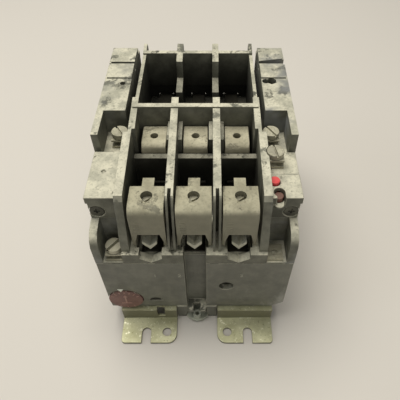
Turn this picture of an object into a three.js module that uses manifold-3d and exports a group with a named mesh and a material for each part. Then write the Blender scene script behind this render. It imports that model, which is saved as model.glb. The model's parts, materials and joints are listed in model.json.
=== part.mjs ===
// Three-pole motor overload relay, lying on its mounting face with the load terminals in front.
// Millimetres, +Z up, +X right, +Y away from the load terminals.
import * as THREE from 'three';
import { mergeVertices } from 'three/addons/utils/BufferGeometryUtils.js';
import Module from 'manifold-3d';

const wasm = await Module();
wasm.setup();

// ---- driving dimensions ----------------------------------------------------------------------
const FIT_GAP = 0.3; // clearance between two pieces that sit against each other
const POLE_PITCH = 21;
const POLE_COUNT = 3;

// lower moulding
const BODY_FRONT = -54;
const BODY_DEPTH = 123.5;
const BASE_UNDERSIDE = 11.3; // height of the underside above the mounting face
const BASE_HEIGHT = 50.7;
const BASE_WALL = 3.2;
const BASE_LEDGE_DEPTH = 7;
const BASE_CORNER_CHAMFER = 7;
const SKIRT_BAND_HEIGHT = 8.5; // narrower band below the crease of the front face
const SKIRT_BAND_SETBACK = 1;
const TONGUE_WIDTH = 22.4;
const TONGUE_DEPTH = 17;
const CHANNEL_WIDTH = 10.8;
const CHANNEL_DEPTH = 5.5;
const SHELF_WIDTH = 9.7;
const SHELF_REACH = 2.2;
const SHELF_THICKNESS = 2.2;
const SHELF_SLOT_WIDTH = 3.9;
const SHELF_SLOT_DEPTH = 5;
const TEST_HOLE_RADIUS = 3.8;
const CREASE_HOLE_RADIUS = 3.8;
const CREASE_HOLE_X = -22.2;

// terminal moulding
const FLOOR_THICKNESS = 3;
const RIB_HEIGHT = 40.5; // above the lower moulding, at the mid wall
const RIB_DROP = 6; // how much lower the ribs are at their front end
const RIB_THICKNESS = 3.6;
const OUTER_RIB_THICKNESS = 3.9; // in front; behind the jog it is a thinner wall further in
const OUTER_RIB_REAR_THICKNESS = 3.2;
const OUTER_RIB_JOG = 1.5;
const RIB_FRONT_SETBACK = 2; // of the rib's foot from the body's front
const RIB_TOP_SETBACK = 10; // of the rib's top corner from the body's front
const RIB_SLOT_WIDTH = 1.5;
const RIB_SLOT_DEPTH = 4;
const SHOULDER_WIDTH = 2; // little ledges along both sides of the ribs
const SHOULDER_HEIGHT = 31.3;
const SHOULDER_DEPTH = 14;
const MID_WALL_SETBACK = 63.5;
const MID_WALL_THICKNESS = 3;
const RIB_TAIL = 5; // rib behind the mid wall
const REAR_WALL_THICKNESS = 3;
const REAR_WALL_HEIGHT = 36; // top above the lower moulding
const REAR_OPENING_HEIGHT = 13.9; // below the rear wall
const BAY_RIB_LOW = 16;
const BAY_RIB_STEP = 25.2;
const BAY_STEP_LENGTH = 14.6;
const BAY_STEP_SETBACK = 12;
const BAY_WALL_THICKNESS = 1.9;
const BAY_SIDE_SLOT = 2.4;
const FIN_REACH = 8;
const FIN_HEIGHT = 37;
const CONTROL_POCKET_WIDTH = 9.7;
const SIDE_WALL = 3.7;
const SHOULDER_OVERHANG = 1.2;
const SIDE_BLOCK_HEIGHT = 40;
const SIDE_BLOCK_WALL = 2.6;
const SIDE_BLOCK_FRONT_SETBACK = 61.3;
const OUTER_WALL_FRONT_SETBACK = 43.2;
const PAD_RISE = 0.8;
const PAD_LENGTH = 11.3;
const PAD_GAP = 1.8;
const PAD_GAP_DEPTH = 4;
const PAD_SETBACK = 8.5;
const EAR_HEIGHT = 16;
const EAR_CLEARANCE = 2.4;
const SEAT_THICKNESS = 2.5; // floor under a control terminal
const FRONT_SCREW_SETBACK = 5.4;
const REAR_SCREW_SETBACK = 10.3;
const UPPER_SEAT_HEIGHT = 26;
const MIDDLE_SEAT_HEIGHT = 30;
const CROSS_WALL_HEIGHT = 24; // wall in front of each heater terminal
const CROSS_WALL_THICKNESS = 3.3;
const LUG_FLOOR_THICKNESS = 0.9; // thinner floor under the box lugs
const TRAY_DROP = 4.3; // how far the front half of the moulding hangs below the rear half
const TROUGH_WIDTH = 10.9; // wire guide in front of each lug
const TROUGH_SIDE_HEIGHT = 4.1;
const TROUGH_FLOOR = 0.8;
const CORNER_POST = 2.4;

// side covers
const MIDDLE_BLOCK_DEPTH = 16.2;
const COVER_TOP = 30.5; // above the lower moulding
const COVER_FRONT_SETBACK = 12;
const COVER_SIDE_OVERHANG = 0.8;
const COVER_BRIM_HEIGHT = 4; // the wider rim along the top of a cover
const COVER_FRONT_HEIGHT = 11.5;
const COVER_WALL = 2.2;
const COVER_SCREW_RADIUS = 3.4;
const COVER_SCREW_DROP = 9.4; // below the cover's top
const FRONT_WALL_THICKNESS = 2.5; // wall of the terminal moulding under a cover's front

// mounting feet and rail latch
const FOOT_WIDTH = 31;
const FOOT_THICKNESS = 1.5;
const FOOT_FLANGE = 14.8;
const FOOT_RISER_SETBACK = 1.7; // riser in front of the body
const FOOT_TAIL = 22;
const FOOT_SLOT_WIDTH = 5.1;
const FOOT_HOLE_RADIUS = 2.45;
const FOOT_SLOT_OFFSET = 17.1; // from the foot's inner edge
const FOOT_HOLE_OFFSET = 5.6;
const FOOT_HOLE_SETBACK = 6.3;
const FOOT_CORNER = 5;
const FOOT_SCREW_RADIUS = 1.6;
const FOOT_SCREW_HEAD_RADIUS = 3;
const RAIL_WIDTH = 35; // standard top-hat rail
const RAIL_HEIGHT = 7.5;
const RAIL_SETBACK = 41.5; // rail's front edge behind the body's front
const RAIL_CLEARANCE = 0.5;
const HOOK_REACH = 3;
const HOOK_THICKNESS = 3;
const LATCH_WIDTH = 11.8;
const LATCH_THICKNESS = 1.7;
const LATCH_HEIGHT = 1.2;
const LATCH_REACH = 4; // pull lip in front of the body
const LATCH_EYE_RADIUS = 2.3;
const LATCH_EYE_BORE = 1.15;
const LATCH_EYE_HEIGHT = 3.4;
const LATCH_TRAVEL = 4;
const SPRING_WIRE = 0.35;

// adjusting dial
const DIAL_RADIUS = 9.3;
const DIAL_THICKNESS = 3;
const DIAL_PROUD = 0.5;
const DIAL_HEIGHT = 10.05; // centre above the underside
const DIAL_EDGE = 0; // dial's rim inside the body's side
const DIAL_SHAFT_RADIUS = 3;
const DIAL_SHAFT_LENGTH = 14;
const CAM_RADIUS = 3.4;
const CAM_THROW = 1.1;
const CAM_THICKNESS = 4;

// box lugs
const LUG_SIDE_ROOM = 0.7; // between a lug cover and the rib beside it
const LUG_DEPTH = 16.6;
const LUG_SETBACK = 4.4; // lug's front face behind the body's front
const LUG_TOP = 30;
const LUG_WALL = 1.5;
const LUG_ROUND = 5;
const LUG_ACCESS_RADIUS = 2.7;
const LUG_AXIS_SETBACK = 14;
const LUG_TAB_WIDTH = 5.5;
const LUG_TAB_LENGTH = 4.4;
const LUG_CHEEK = 1.4; // beside the mouth
const LUG_MOUTH_TAPER = 3;
const LUG_MOUTH_HEIGHT = 8.4;
const LUG_COVER_LIFT = 1.8; // lower edge of the cover above the floor
const CLAMP_WIDTH = 7;
const CLAMP_LENGTH = 15;
const CLAMP_PROUD = 0.6; // in front of the lug cover's face
const CLAMP_DROP = 4.4;
const CLAMP_PLATE = 2.2;
const CLAMP_OPENING = 4.6; // wire space under the open clamp
const CLAMP_TRAVEL = 4.3;
const LUG_SCREW_RADIUS = 2.5;
const LUG_SCREW_HEAD_RADIUS = 4;
const LUG_SCREW_HEAD = 3.2;
const CONDUCTOR_SIDE_ROOM = 1.6;
const CONDUCTOR_THICKNESS = 0.8;
const NUT_PLATE_THICKNESS = 2.4;

// heater terminals and line stabs
const HEATER_SIDE_ROOM = 0.4; // between the terminal and the shoulder beside it
const HEATER_TERMINAL_DEPTH = 15.8;
const HEATER_TERMINAL_TOP = 28.6;
const HEATER_TERMINAL_HEIGHT = 12;
const HEATER_HOLE_RADIUS = 1.8;
const HEATER_ROUND = 4.4;
const STAB_WIDTH = 8;
const STAB_THICKNESS = 2;
const STAB_OVERHANG = 7;

// control terminals
const CONTROL_SCREW_RADIUS = 4.1;
const CONTROL_SCREW_INSET = 3.2; // screw's axis outside the outer rib's face
const CONTROL_SCREW_HEAD = 2.6;
const CONTROL_SHANK_RADIUS = 1.7;
const CONTROL_SHANK_LENGTH = 6.5;
const SCREW_SLOT_WIDTH = 0.8;
const SCREW_SLOT_DEPTH = 1.1;
const SADDLE_SIZE = 8.1;
const SADDLE_THICKNESS = 1.1;
const SADDLE_LIFT = 2.2; // open wire space under the saddle
const CONTACT_PLATE_THICKNESS = 1;
const FRONT_SEAT_THICKNESS = 0.9;

// buttons and trip works
const BUTTON_RADIUS = 2.3;
const BUTTON_FLANGE_RADIUS = 3;
const BUTTON_PROUD = 1.4;
const PLUNGER_RADIUS = 2.2;
const PLUNGER_POCKET_DEPTH = 10.5;
const PLUNGER_SPRING_HEIGHT = 5;
const PLUNGER_SPRING_TURNS = 3;
const PLUNGER_RECESS = 2.2;
const PLUNGER_LIP = 1.2;
const BUTTON_SPRING_HEIGHT = 7;
const BUTTON_SPRING_RADIUS = 1.5;
const BUTTON_SPRING_TURNS = 5;
const TRIP_BAR_HEIGHT = 5;
const TRIP_BAR_DEPTH = 6;
const TRIP_FINGER = 8;
const LEVER_LENGTH = 22;
const LEVER_THICKNESS = 3;
const PIN_RADIUS = 1.2;
const CARRIER_WIDTH = 8;
const CARRIER_HEIGHT = 16;
const BRIDGE_LENGTH = 18;
const CONTACT_OPEN_GAP = 2.4;

// ---- places that follow from the sizes -------------------------------------------------------
const BODY_REAR = BODY_FRONT + BODY_DEPTH;
const BASE_TOP = BASE_UNDERSIDE + BASE_HEIGHT;
const POLES = Array.from({ length: POLE_COUNT }, (_, i) => (i - (POLE_COUNT - 1) / 2) * POLE_PITCH);
const OUTER_RIB_INNER_FACE = (POLE_COUNT * POLE_PITCH) / 2 - RIB_THICKNESS / 4;
const OUTER_RIB_FACE = OUTER_RIB_INNER_FACE + OUTER_RIB_THICKNESS;
const BODY_HALF = OUTER_RIB_FACE + CONTROL_POCKET_WIDTH + SIDE_WALL;
const SHOULDER_HALF = BODY_HALF + SHOULDER_OVERHANG;
const CONTROL_X = OUTER_RIB_FACE + CONTROL_SCREW_INSET;
const FRONT_CONTROL_X = CONTROL_X + 0.9;
const INNER_RIBS = POLES.slice(1).map((x) => x - POLE_PITCH / 2);
const DECK = BASE_TOP + FIT_GAP; // underside of the terminal moulding's rear half
const TRAY = DECK - TRAY_DROP; // underside of its front half
const FLOOR_TOP = DECK + FLOOR_THICKNESS;
const RIB_TOP = BASE_TOP + RIB_HEIGHT;
const MID_WALL = BODY_FRONT + MID_WALL_SETBACK;
const MID_WALL_BACK = MID_WALL + MID_WALL_THICKNESS;
const REAR_WALL = BODY_REAR - REAR_WALL_THICKNESS;
const RIB_FOOT = BODY_FRONT + RIB_FRONT_SETBACK;
const COVER_FRONT = BODY_FRONT + COVER_FRONT_SETBACK;
const OUTER_WALL_FRONT = BODY_FRONT + OUTER_WALL_FRONT_SETBACK;
const SIDE_BLOCK_FRONT = BODY_FRONT + SIDE_BLOCK_FRONT_SETBACK;
const POLE_ROOM = POLE_PITCH - RIB_THICKNESS; // between two ribs
const LUG_WIDTH = POLE_ROOM - 2 * LUG_SIDE_ROOM;
const LUG_MOUTH_WIDTH = LUG_WIDTH - 2 * LUG_CHEEK;
const LUG_MOUTH_TOP_WIDTH = LUG_MOUTH_WIDTH - LUG_MOUTH_TAPER;
const CONDUCTOR_WIDTH = LUG_MOUTH_WIDTH - 2 * CONDUCTOR_SIDE_ROOM;
const HEATER_TERMINAL_WIDTH = POLE_ROOM - 2 * SHOULDER_WIDTH - 2 * HEATER_SIDE_ROOM;
const LUG_FRONT = BODY_FRONT + LUG_SETBACK;
const LUG_BACK = LUG_FRONT + LUG_DEPTH;
const LUG_AXIS = BODY_FRONT + LUG_AXIS_SETBACK;
const LUG_ROOF = BASE_TOP + LUG_TOP;
const LUG_FLOOR = TRAY + LUG_FLOOR_THICKNESS;
const CONDUCTOR_TOP = LUG_FLOOR + FIT_GAP + CONDUCTOR_THICKNESS;
const HEATER_FRONT = MID_WALL - FIT_GAP - HEATER_TERMINAL_DEPTH;
const CROSS_WALL_BACK = HEATER_FRONT - FIT_GAP;
const CROSS_WALL_FRONT = CROSS_WALL_BACK - CROSS_WALL_THICKNESS;
const FRONT_SEAT = TRAY + FRONT_SEAT_THICKNESS;
const RAIL_FRONT = BODY_FRONT + RAIL_SETBACK;
const RAIL_REAR = RAIL_FRONT + RAIL_WIDTH;
const FOOT_INNER = TONGUE_WIDTH / 2 + FIT_GAP; // from the centre line to the foot's inner edge
const DIAL_X = DIAL_RADIUS + DIAL_EDGE - BODY_HALF;
const DIAL_Z = BASE_UNDERSIDE + DIAL_HEIGHT;
const BASE_FLOOR = BASE_UNDERSIDE + BASE_WALL;

// ---- materials ---------------------------------------------------------------------------------
function finish(colour, roughness, metalness) {
  return new THREE.MeshStandardMaterial({ color: colour, roughness, metalness });
}
const bodyPlastic = finish(0x45453c, 0.75, 0);
const coverPlastic = finish(0x504f45, 0.75, 0);
const lugPlastic = finish(0x8e8c7c, 0.85, 0);
const zincPlate = finish(0xc8c8a5, 0.4, 0.85);
const screwSteel = finish(0xb4b2a2, 0.45, 0.8);
const copperAlloy = finish(0xa59a7c, 0.5, 0.8);
const dialPlastic = finish(0x5f3c37, 0.6, 0);
const buttonPlastic = finish(0xeb5a5a, 0.5, 0);
const plungerPlastic = finish(0x4a3730, 0.6, 0);
const springSteel = finish(0x9a9a94, 0.35, 0.9);

// ---- solids ------------------------------------------------------------------------------------
function solid(geometry) {
  geometry.deleteAttribute('normal');
  geometry.deleteAttribute('uv');
  const merged = mergeVertices(geometry, 1e-4);
  return new wasm.Manifold(new wasm.Mesh({
    numProp: 3,
    vertProperties: Float32Array.from(merged.attributes.position.array),
    triVerts: Uint32Array.from(merged.index.array),
  }));
}

// A box from its lowest to its highest place on each axis.
function block([x0, x1], [y0, y1], [z0, z1]) {
  const geometry = new THREE.BoxGeometry(x1 - x0, y1 - y0, z1 - z0);
  return solid(geometry.translate((x0 + x1) / 2, (y0 + y1) / 2, (z0 + z1) / 2));
}

function around(centre, width) {
  return [centre - width / 2, centre + width / 2];
}

function outline(points) {
  return new THREE.Shape(points.map(([a, b]) => new THREE.Vector2(a, b)));
}

function extruded(shape, length) {
  return new THREE.ExtrudeGeometry(shape, { depth: length, bevelEnabled: false, curveSegments: 8 });
}

// An outline of (y, z) points drawn out along X.
function prismX(shape, [x0, x1]) {
  const turn = new THREE.Matrix4().makeBasis(
    new THREE.Vector3(0, 1, 0), new THREE.Vector3(0, 0, 1), new THREE.Vector3(1, 0, 0));
  return solid(extruded(shape, x1 - x0).applyMatrix4(turn).translate(x0, 0, 0));
}

// An outline of (x, z) points drawn out along Y.
function prismY(shape, [y0, y1]) {
  const turn = new THREE.Matrix4().makeBasis(
    new THREE.Vector3(1, 0, 0), new THREE.Vector3(0, 0, 1), new THREE.Vector3(0, -1, 0));
  return solid(extruded(shape, y1 - y0).applyMatrix4(turn).translate(0, y1, 0));
}

// An outline of (x, y) points drawn out along Z.
function prismZ(shape, [z0, z1]) {
  return solid(extruded(shape, z1 - z0).translate(0, 0, z0));
}

function rodZ(x, y, radius, [z0, z1], sides = 20) {
  const geometry = new THREE.CylinderGeometry(radius, radius, z1 - z0, sides);
  return solid(geometry.rotateX(Math.PI / 2).translate(x, y, (z0 + z1) / 2));
}

function rodY(x, z, radius, [y0, y1], sides = 20) {
  const geometry = new THREE.CylinderGeometry(radius, radius, y1 - y0, sides);
  return solid(geometry.translate(x, (y0 + y1) / 2, z));
}

function join(...solids) {
  return solids.reduce((sum, next) => sum.add(next));
}

function cut(body, ...tools) {
  return tools.reduce((rest, tool) => rest.subtract(tool), body);
}

function mirrored([a, b]) {
  return [-b, -a];
}

// The range [a, b] on the right side, or its mirror image on the left.
function onSide(side, range) {
  return side > 0 ? range : mirrored(range);
}

const model = new THREE.Group();

function addPart(name, body, material, parent = model) {
  const mesh = body.getMesh();
  const geometry = new THREE.BufferGeometry();
  geometry.setAttribute('position', new THREE.BufferAttribute(Float32Array.from(mesh.vertProperties), 3));
  geometry.setIndex(Array.from(mesh.triVerts));
  geometry.computeVertexNormals();
  const part = new THREE.Mesh(geometry, material);
  part.name = name;
  parent.add(part);
  return part;
}

// A closed helical wire along +Z from the origin.
function coilSpring(radius, height, turns) {
  class Helix extends THREE.Curve {
    getPoint(t, target = new THREE.Vector3()) {
      const angle = t * turns * 2 * Math.PI;
      return target.set(radius * Math.cos(angle), radius * Math.sin(angle), t * height);
    }
  }
  const wire = new THREE.Shape().absarc(0, 0, SPRING_WIRE, 0, 2 * Math.PI);
  const options = { steps: turns * 10, extrudePath: new Helix(), curveSegments: 3 };
  return new THREE.ExtrudeGeometry(wire, options);
}

function addSpring(name, place, height, turns) {
  const spring = new THREE.Mesh(coilSpring(BUTTON_SPRING_RADIUS, height, turns), springSteel);
  spring.name = name;
  spring.position.set(...place);
  model.add(spring);
}

// ---- lower moulding ----------------------------------------------------------------------------
function skirtOutline() {
  const crease = BASE_UNDERSIDE + SKIRT_BAND_HEIGHT;
  return outline([
    [BODY_FRONT + SKIRT_BAND_SETBACK, BASE_UNDERSIDE],
    [BODY_REAR, BASE_UNDERSIDE],
    [BODY_REAR, BASE_TOP],
    [BODY_FRONT, BASE_TOP],
    [BODY_FRONT, crease],
  ]);
}

function baseHousing() {
  const inner = BODY_HALF - BASE_WALL;
  const cavityFront = BODY_FRONT + CHANNEL_DEPTH + BASE_WALL;
  const shelfTop = BASE_UNDERSIDE + FIT_GAP;
  const railTop = RAIL_HEIGHT + FIT_GAP;
  const hookFace = RAIL_REAR + RAIL_CLEARANCE;
  const body = join(
    prismX(skirtOutline(), [-BODY_HALF, BODY_HALF]),
    block(around(0, TONGUE_WIDTH), [BODY_FRONT, BODY_FRONT + TONGUE_DEPTH], [0, BASE_UNDERSIDE + 1]),
    block(around(0, SHELF_WIDTH), [BODY_FRONT - SHELF_REACH, BODY_FRONT + CHANNEL_DEPTH + 1],
      [shelfTop - SHELF_THICKNESS, shelfTop]),
    block(around(0, 2 * OUTER_RIB_FACE), [RAIL_FRONT + 2, RAIL_REAR + 1], [railTop, BASE_UNDERSIDE + 1]),
    block(around(0, 2 * OUTER_RIB_FACE), [hookFace, BODY_REAR - BASE_WALL], [0, BASE_UNDERSIDE + 1]),
    block(around(0, 2 * OUTER_RIB_FACE), [hookFace - HOOK_REACH, hookFace + 1], [0, HOOK_THICKNESS]),
  );
  const corner = outline([
    [BODY_HALF - BASE_CORNER_CHAMFER, BASE_UNDERSIDE - 1],
    [BODY_HALF + 1, BASE_UNDERSIDE - 1],
    [BODY_HALF + 1, BASE_UNDERSIDE + BASE_CORNER_CHAMFER],
  ]);
  const latchRoom = LATCH_WIDTH / 2 + FIT_GAP;
  const ledge = BASE_TOP - TRAY_DROP - BASE_WALL;
  return cut(
    body,
    block([-inner, inner], [BODY_FRONT + BASE_LEDGE_DEPTH + 2, BODY_REAR - BASE_WALL],
      [BASE_FLOOR, BASE_TOP + 1]),
    block([-inner, -CHANNEL_WIDTH / 2 - BASE_WALL], [BODY_FRONT + BASE_WALL + 0.5, cavityFront + 2],
      [BASE_FLOOR, ledge]),
    block([CHANNEL_WIDTH / 2 + BASE_WALL, inner], [BODY_FRONT + BASE_WALL + 0.5, cavityFront + 2],
      [BASE_FLOOR, ledge]),
    block([-BODY_HALF - 1, BODY_HALF + 1], [BODY_FRONT - 1, CROSS_WALL_BACK + FIT_GAP],
      [BASE_TOP - TRAY_DROP, BASE_TOP + 1]),
    block(around(0, CHANNEL_WIDTH), [BODY_FRONT - 1, BODY_FRONT + CHANNEL_DEPTH], [shelfTop, BASE_TOP + 1]),
    block(around(0, SHELF_SLOT_WIDTH),
      [BODY_FRONT - SHELF_REACH - 1, BODY_FRONT + SHELF_SLOT_DEPTH - SHELF_REACH],
      [shelfTop - SHELF_THICKNESS - 1, shelfTop + 1]),
    block(around(0, CHANNEL_WIDTH), [BODY_FRONT - SHELF_REACH - 1, BODY_FRONT + SHELF_REACH],
      [LATCH_HEIGHT + LATCH_THICKNESS + FIT_GAP, shelfTop - SHELF_THICKNESS]),
    block([-latchRoom, latchRoom], [BODY_FRONT - 1, BODY_FRONT + TONGUE_DEPTH + 1],
      [LATCH_HEIGHT - FIT_GAP, LATCH_HEIGHT + LATCH_THICKNESS + FIT_GAP]),
    block(around(0, 2 * LATCH_EYE_RADIUS + 1), [BODY_FRONT - 1, BODY_FRONT + LATCH_EYE_RADIUS + LATCH_TRAVEL],
      [LATCH_HEIGHT, shelfTop - SHELF_THICKNESS]),
    prismY(corner, [BODY_FRONT - 1, BODY_REAR + 1]),
    rodY(DIAL_X, DIAL_Z, DIAL_RADIUS + FIT_GAP, [BODY_FRONT - 1, dialBack() + FIT_GAP], 40),
    rodY(DIAL_X, DIAL_Z, DIAL_SHAFT_RADIUS + FIT_GAP, [BODY_FRONT, cavityFront + 3], 24),
    rodY(testHoleX(), testHoleZ(), TEST_HOLE_RADIUS, [BODY_FRONT - 1, cavityFront + 3], 28),
    creaseHole(),
    ...controlShanks().map(({ x, y }) => rodZ(x, y, CONTROL_SHANK_RADIUS + FIT_GAP,
      [ledge - 1, BASE_TOP + 1], 16)),
    ...footScrewPlaces().map(([x, y]) => rodZ(x, y, FOOT_SCREW_RADIUS + FIT_GAP,
      [BASE_UNDERSIDE - 1, BASE_FLOOR + 1], 16)),
  );
}

function dialBack() {
  return BODY_FRONT - DIAL_PROUD + DIAL_THICKNESS;
}

// Half-round hole whose lower half is closed by the crease of the front face.
function creaseHole() {
  const z = BASE_UNDERSIDE + SKIRT_BAND_HEIGHT;
  const depth = [BODY_FRONT - 1, BODY_FRONT + BASE_WALL + 2];
  const lowerHalf = block(around(CREASE_HOLE_X, 3 * CREASE_HOLE_RADIUS), depth,
    [z - 2 * CREASE_HOLE_RADIUS, z]);
  return cut(rodY(CREASE_HOLE_X, z - 0.6, CREASE_HOLE_RADIUS, depth, 28), lowerHalf);
}

function testHoleX() {
  return POLES[POLE_COUNT - 1] - POLE_PITCH / 4;
}

function testHoleZ() {
  return BASE_UNDERSIDE + 0.48 * BASE_HEIGHT;
}

function footScrewPlaces() {
  const x = FOOT_INNER + FOOT_WIDTH / 2;
  const y = BODY_FRONT + FOOT_TAIL - 7;
  return [[-x, y], [x, y]];
}

// ---- terminal moulding -------------------------------------------------------------------------
// Side view of a rib from the load terminals to the rear bays, without its bay steps.
function ribOutline(backY) {
  return outline([
    [RIB_FOOT, DECK],
    [backY, DECK],
    [backY, RIB_TOP],
    [BODY_FRONT + RIB_TOP_SETBACK, RIB_TOP - RIB_DROP],
    [BODY_FRONT + RIB_TOP_SETBACK - 1.5, RIB_TOP - RIB_DROP - 2.5],
    [RIB_FOOT, FLOOR_TOP + 6],
  ]);
}

function rib(x, thickness) {
  return prismX(ribOutline(MID_WALL_BACK + RIB_TAIL), around(x, thickness));
}

// An outer rib: thick in front of the heater terminals, thinner and further in beside them.
function outerRib(side) {
  const jog = MID_WALL - SHOULDER_DEPTH;
  const rearInner = OUTER_RIB_INNER_FACE - OUTER_RIB_JOG;
  const whole = prismX(ribOutline(MID_WALL_BACK + RIB_TAIL),
    onSide(side, [rearInner, OUTER_RIB_FACE]));
  return cut(
    whole,
    block(onSide(side, [rearInner - 1, OUTER_RIB_INNER_FACE]), [RIB_FOOT - 1, jog],
      [DECK - 1, RIB_TOP + 1]),
    block(onSide(side, [rearInner + OUTER_RIB_REAR_THICKNESS, OUTER_RIB_FACE + 1]),
      [jog - 2, MID_WALL_BACK + RIB_TAIL + 1], [BASE_TOP + UPPER_SEAT_HEIGHT, RIB_TOP + 1]),
  );
}

// The stepped wall between two rear bays, with its fin behind the rear wall.
function bayRib(x, thickness) {
  const stepBack = REAR_WALL - BAY_STEP_SETBACK + REAR_WALL_THICKNESS;
  const stepFront = stepBack - BAY_STEP_LENGTH;
  const steps = outline([
    [MID_WALL_BACK, DECK],
    [REAR_WALL + 1, DECK],
    [REAR_WALL + 1, BASE_TOP + REAR_WALL_HEIGHT],
    [stepBack, BASE_TOP + REAR_WALL_HEIGHT],
    [stepBack, BASE_TOP + BAY_RIB_STEP],
    [stepFront, BASE_TOP + BAY_RIB_STEP],
    [stepFront, BASE_TOP + BAY_RIB_LOW],
    [MID_WALL_BACK, BASE_TOP + BAY_RIB_LOW],
  ]);
  return prismX(steps, around(x, thickness));
}

function fin(x, thickness) {
  const shape = outline([
    [REAR_WALL, DECK],
    [BODY_REAR + FIN_REACH - 3, DECK],
    [BODY_REAR + FIN_REACH, DECK + 3],
    [BODY_REAR + FIN_REACH, BASE_TOP + FIN_HEIGHT - 3],
    [BODY_REAR + FIN_REACH - 2, BASE_TOP + FIN_HEIGHT],
    [REAR_WALL, BASE_TOP + REAR_WALL_HEIGHT],
  ]);
  return prismX(shape, around(x, thickness));
}

function shoulders(x, halfRib, sides) {
  const back = MID_WALL + 1;
  return sides.map((side) => block(
    onSide(side, [halfRib - 0.5, halfRib + SHOULDER_WIDTH]).map((a) => a + x),
    [MID_WALL - SHOULDER_DEPTH, back], [DECK, BASE_TOP + SHOULDER_HEIGHT]));
}

// The tall block beside the rear bays, hollow underneath, with two raised pads and a gap between them,
// square on the left and widening outwards on the right.
function sideBlock(side) {
  const inner = (POLE_COUNT * POLE_PITCH) / 2 + BAY_WALL_THICKNESS / 2 + BAY_SIDE_SLOT;
  const top = BASE_TOP + SIDE_BLOCK_HEIGHT;
  const padBack = BODY_REAR - PAD_SETBACK;
  const across = onSide(side, [inner, SHOULDER_HALF]);
  const padAcross = onSide(side, [inner, SHOULDER_HALF - 1]);
  const shape = join(
    block(across, [SIDE_BLOCK_FRONT, BODY_REAR - 4], [DECK, top]),
    block(across, [SIDE_BLOCK_FRONT, BODY_REAR], [DECK, top - 4]),
    block(padAcross, [padBack - PAD_LENGTH, padBack], [top - 1, top + PAD_RISE]),
    block(padAcross, [padBack - 2 * PAD_LENGTH - PAD_GAP - 2, padBack - PAD_LENGTH - PAD_GAP],
      [top - 1, top + PAD_RISE]),
    block(onSide(side, [BODY_HALF - 2.2, SHOULDER_HALF]), [OUTER_WALL_FRONT, SIDE_BLOCK_FRONT + 1],
      [DECK, top]),
  );
  const gapFront = padBack - PAD_LENGTH - PAD_GAP;
  const gap = side < 0
    ? block(onSide(side, [inner - 1, SHOULDER_HALF + 1]), [gapFront, gapFront + PAD_GAP],
      [top - PAD_GAP_DEPTH, top + 2])
    : prismZ(outline([
      [inner - 1, gapFront + PAD_GAP - 0.6],
      [SHOULDER_HALF + 1, gapFront + PAD_GAP - 1.6],
      [SHOULDER_HALF + 1, gapFront + 3 * PAD_GAP],
      [inner - 1, gapFront + PAD_GAP + 0.6],
    ]), [top - PAD_GAP_DEPTH, top + 2]);
  const hollow = block(
    onSide(side, [inner + SIDE_BLOCK_WALL, BODY_HALF - SIDE_BLOCK_WALL]),
    [SIDE_BLOCK_FRONT + SIDE_BLOCK_WALL, BODY_REAR - SIDE_BLOCK_WALL - 3],
    [DECK - 1, top - PAD_GAP_DEPTH - SIDE_BLOCK_WALL / 2]);
  return { shape, hollow, gap };
}

// The rounded wall outside each front control terminal.
function ear(side) {
  const top = DECK + EAR_HEIGHT;
  const shape = outline([
    [BODY_FRONT, TRAY],
    [OUTER_WALL_FRONT, TRAY],
    [OUTER_WALL_FRONT, top],
    [BODY_FRONT + 9, top],
    [BODY_FRONT + 4.5, top - 1],
    [BODY_FRONT + 1.4, top - 3.6],
    [BODY_FRONT, top - 7.5],
  ]);
  return prismX(shape, onSide(side, [BODY_HALF - SIDE_WALL, BODY_HALF]));
}

// V-floored notch that leads a wire under the clamp.
function guideTrough(x) {
  const half = TROUGH_WIDTH / 2;
  const shape = outline([
    [x - half, FLOOR_TOP + 1],
    [x - half, TRAY + TROUGH_SIDE_HEIGHT],
    [x, TRAY + TROUGH_FLOOR],
    [x + half, TRAY + TROUGH_SIDE_HEIGHT],
    [x + half, FLOOR_TOP + 1],
  ]);
  return prismY(shape, [BODY_FRONT - 1, LUG_FRONT + 0.2]);
}

function cornerPost(x) {
  return block(around(x, CORNER_POST), [MID_WALL_BACK - 0.5, MID_WALL_BACK + CORNER_POST],
    [DECK, BASE_TOP + SHOULDER_HEIGHT + 6]);
}

function controlSeat(side, [y0, y1], height) {
  const top = BASE_TOP + height;
  return block(onSide(side, [OUTER_RIB_FACE - 1, BODY_HALF + 0.5]), [y0, y1], [top - SEAT_THICKNESS, top]);
}

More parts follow.
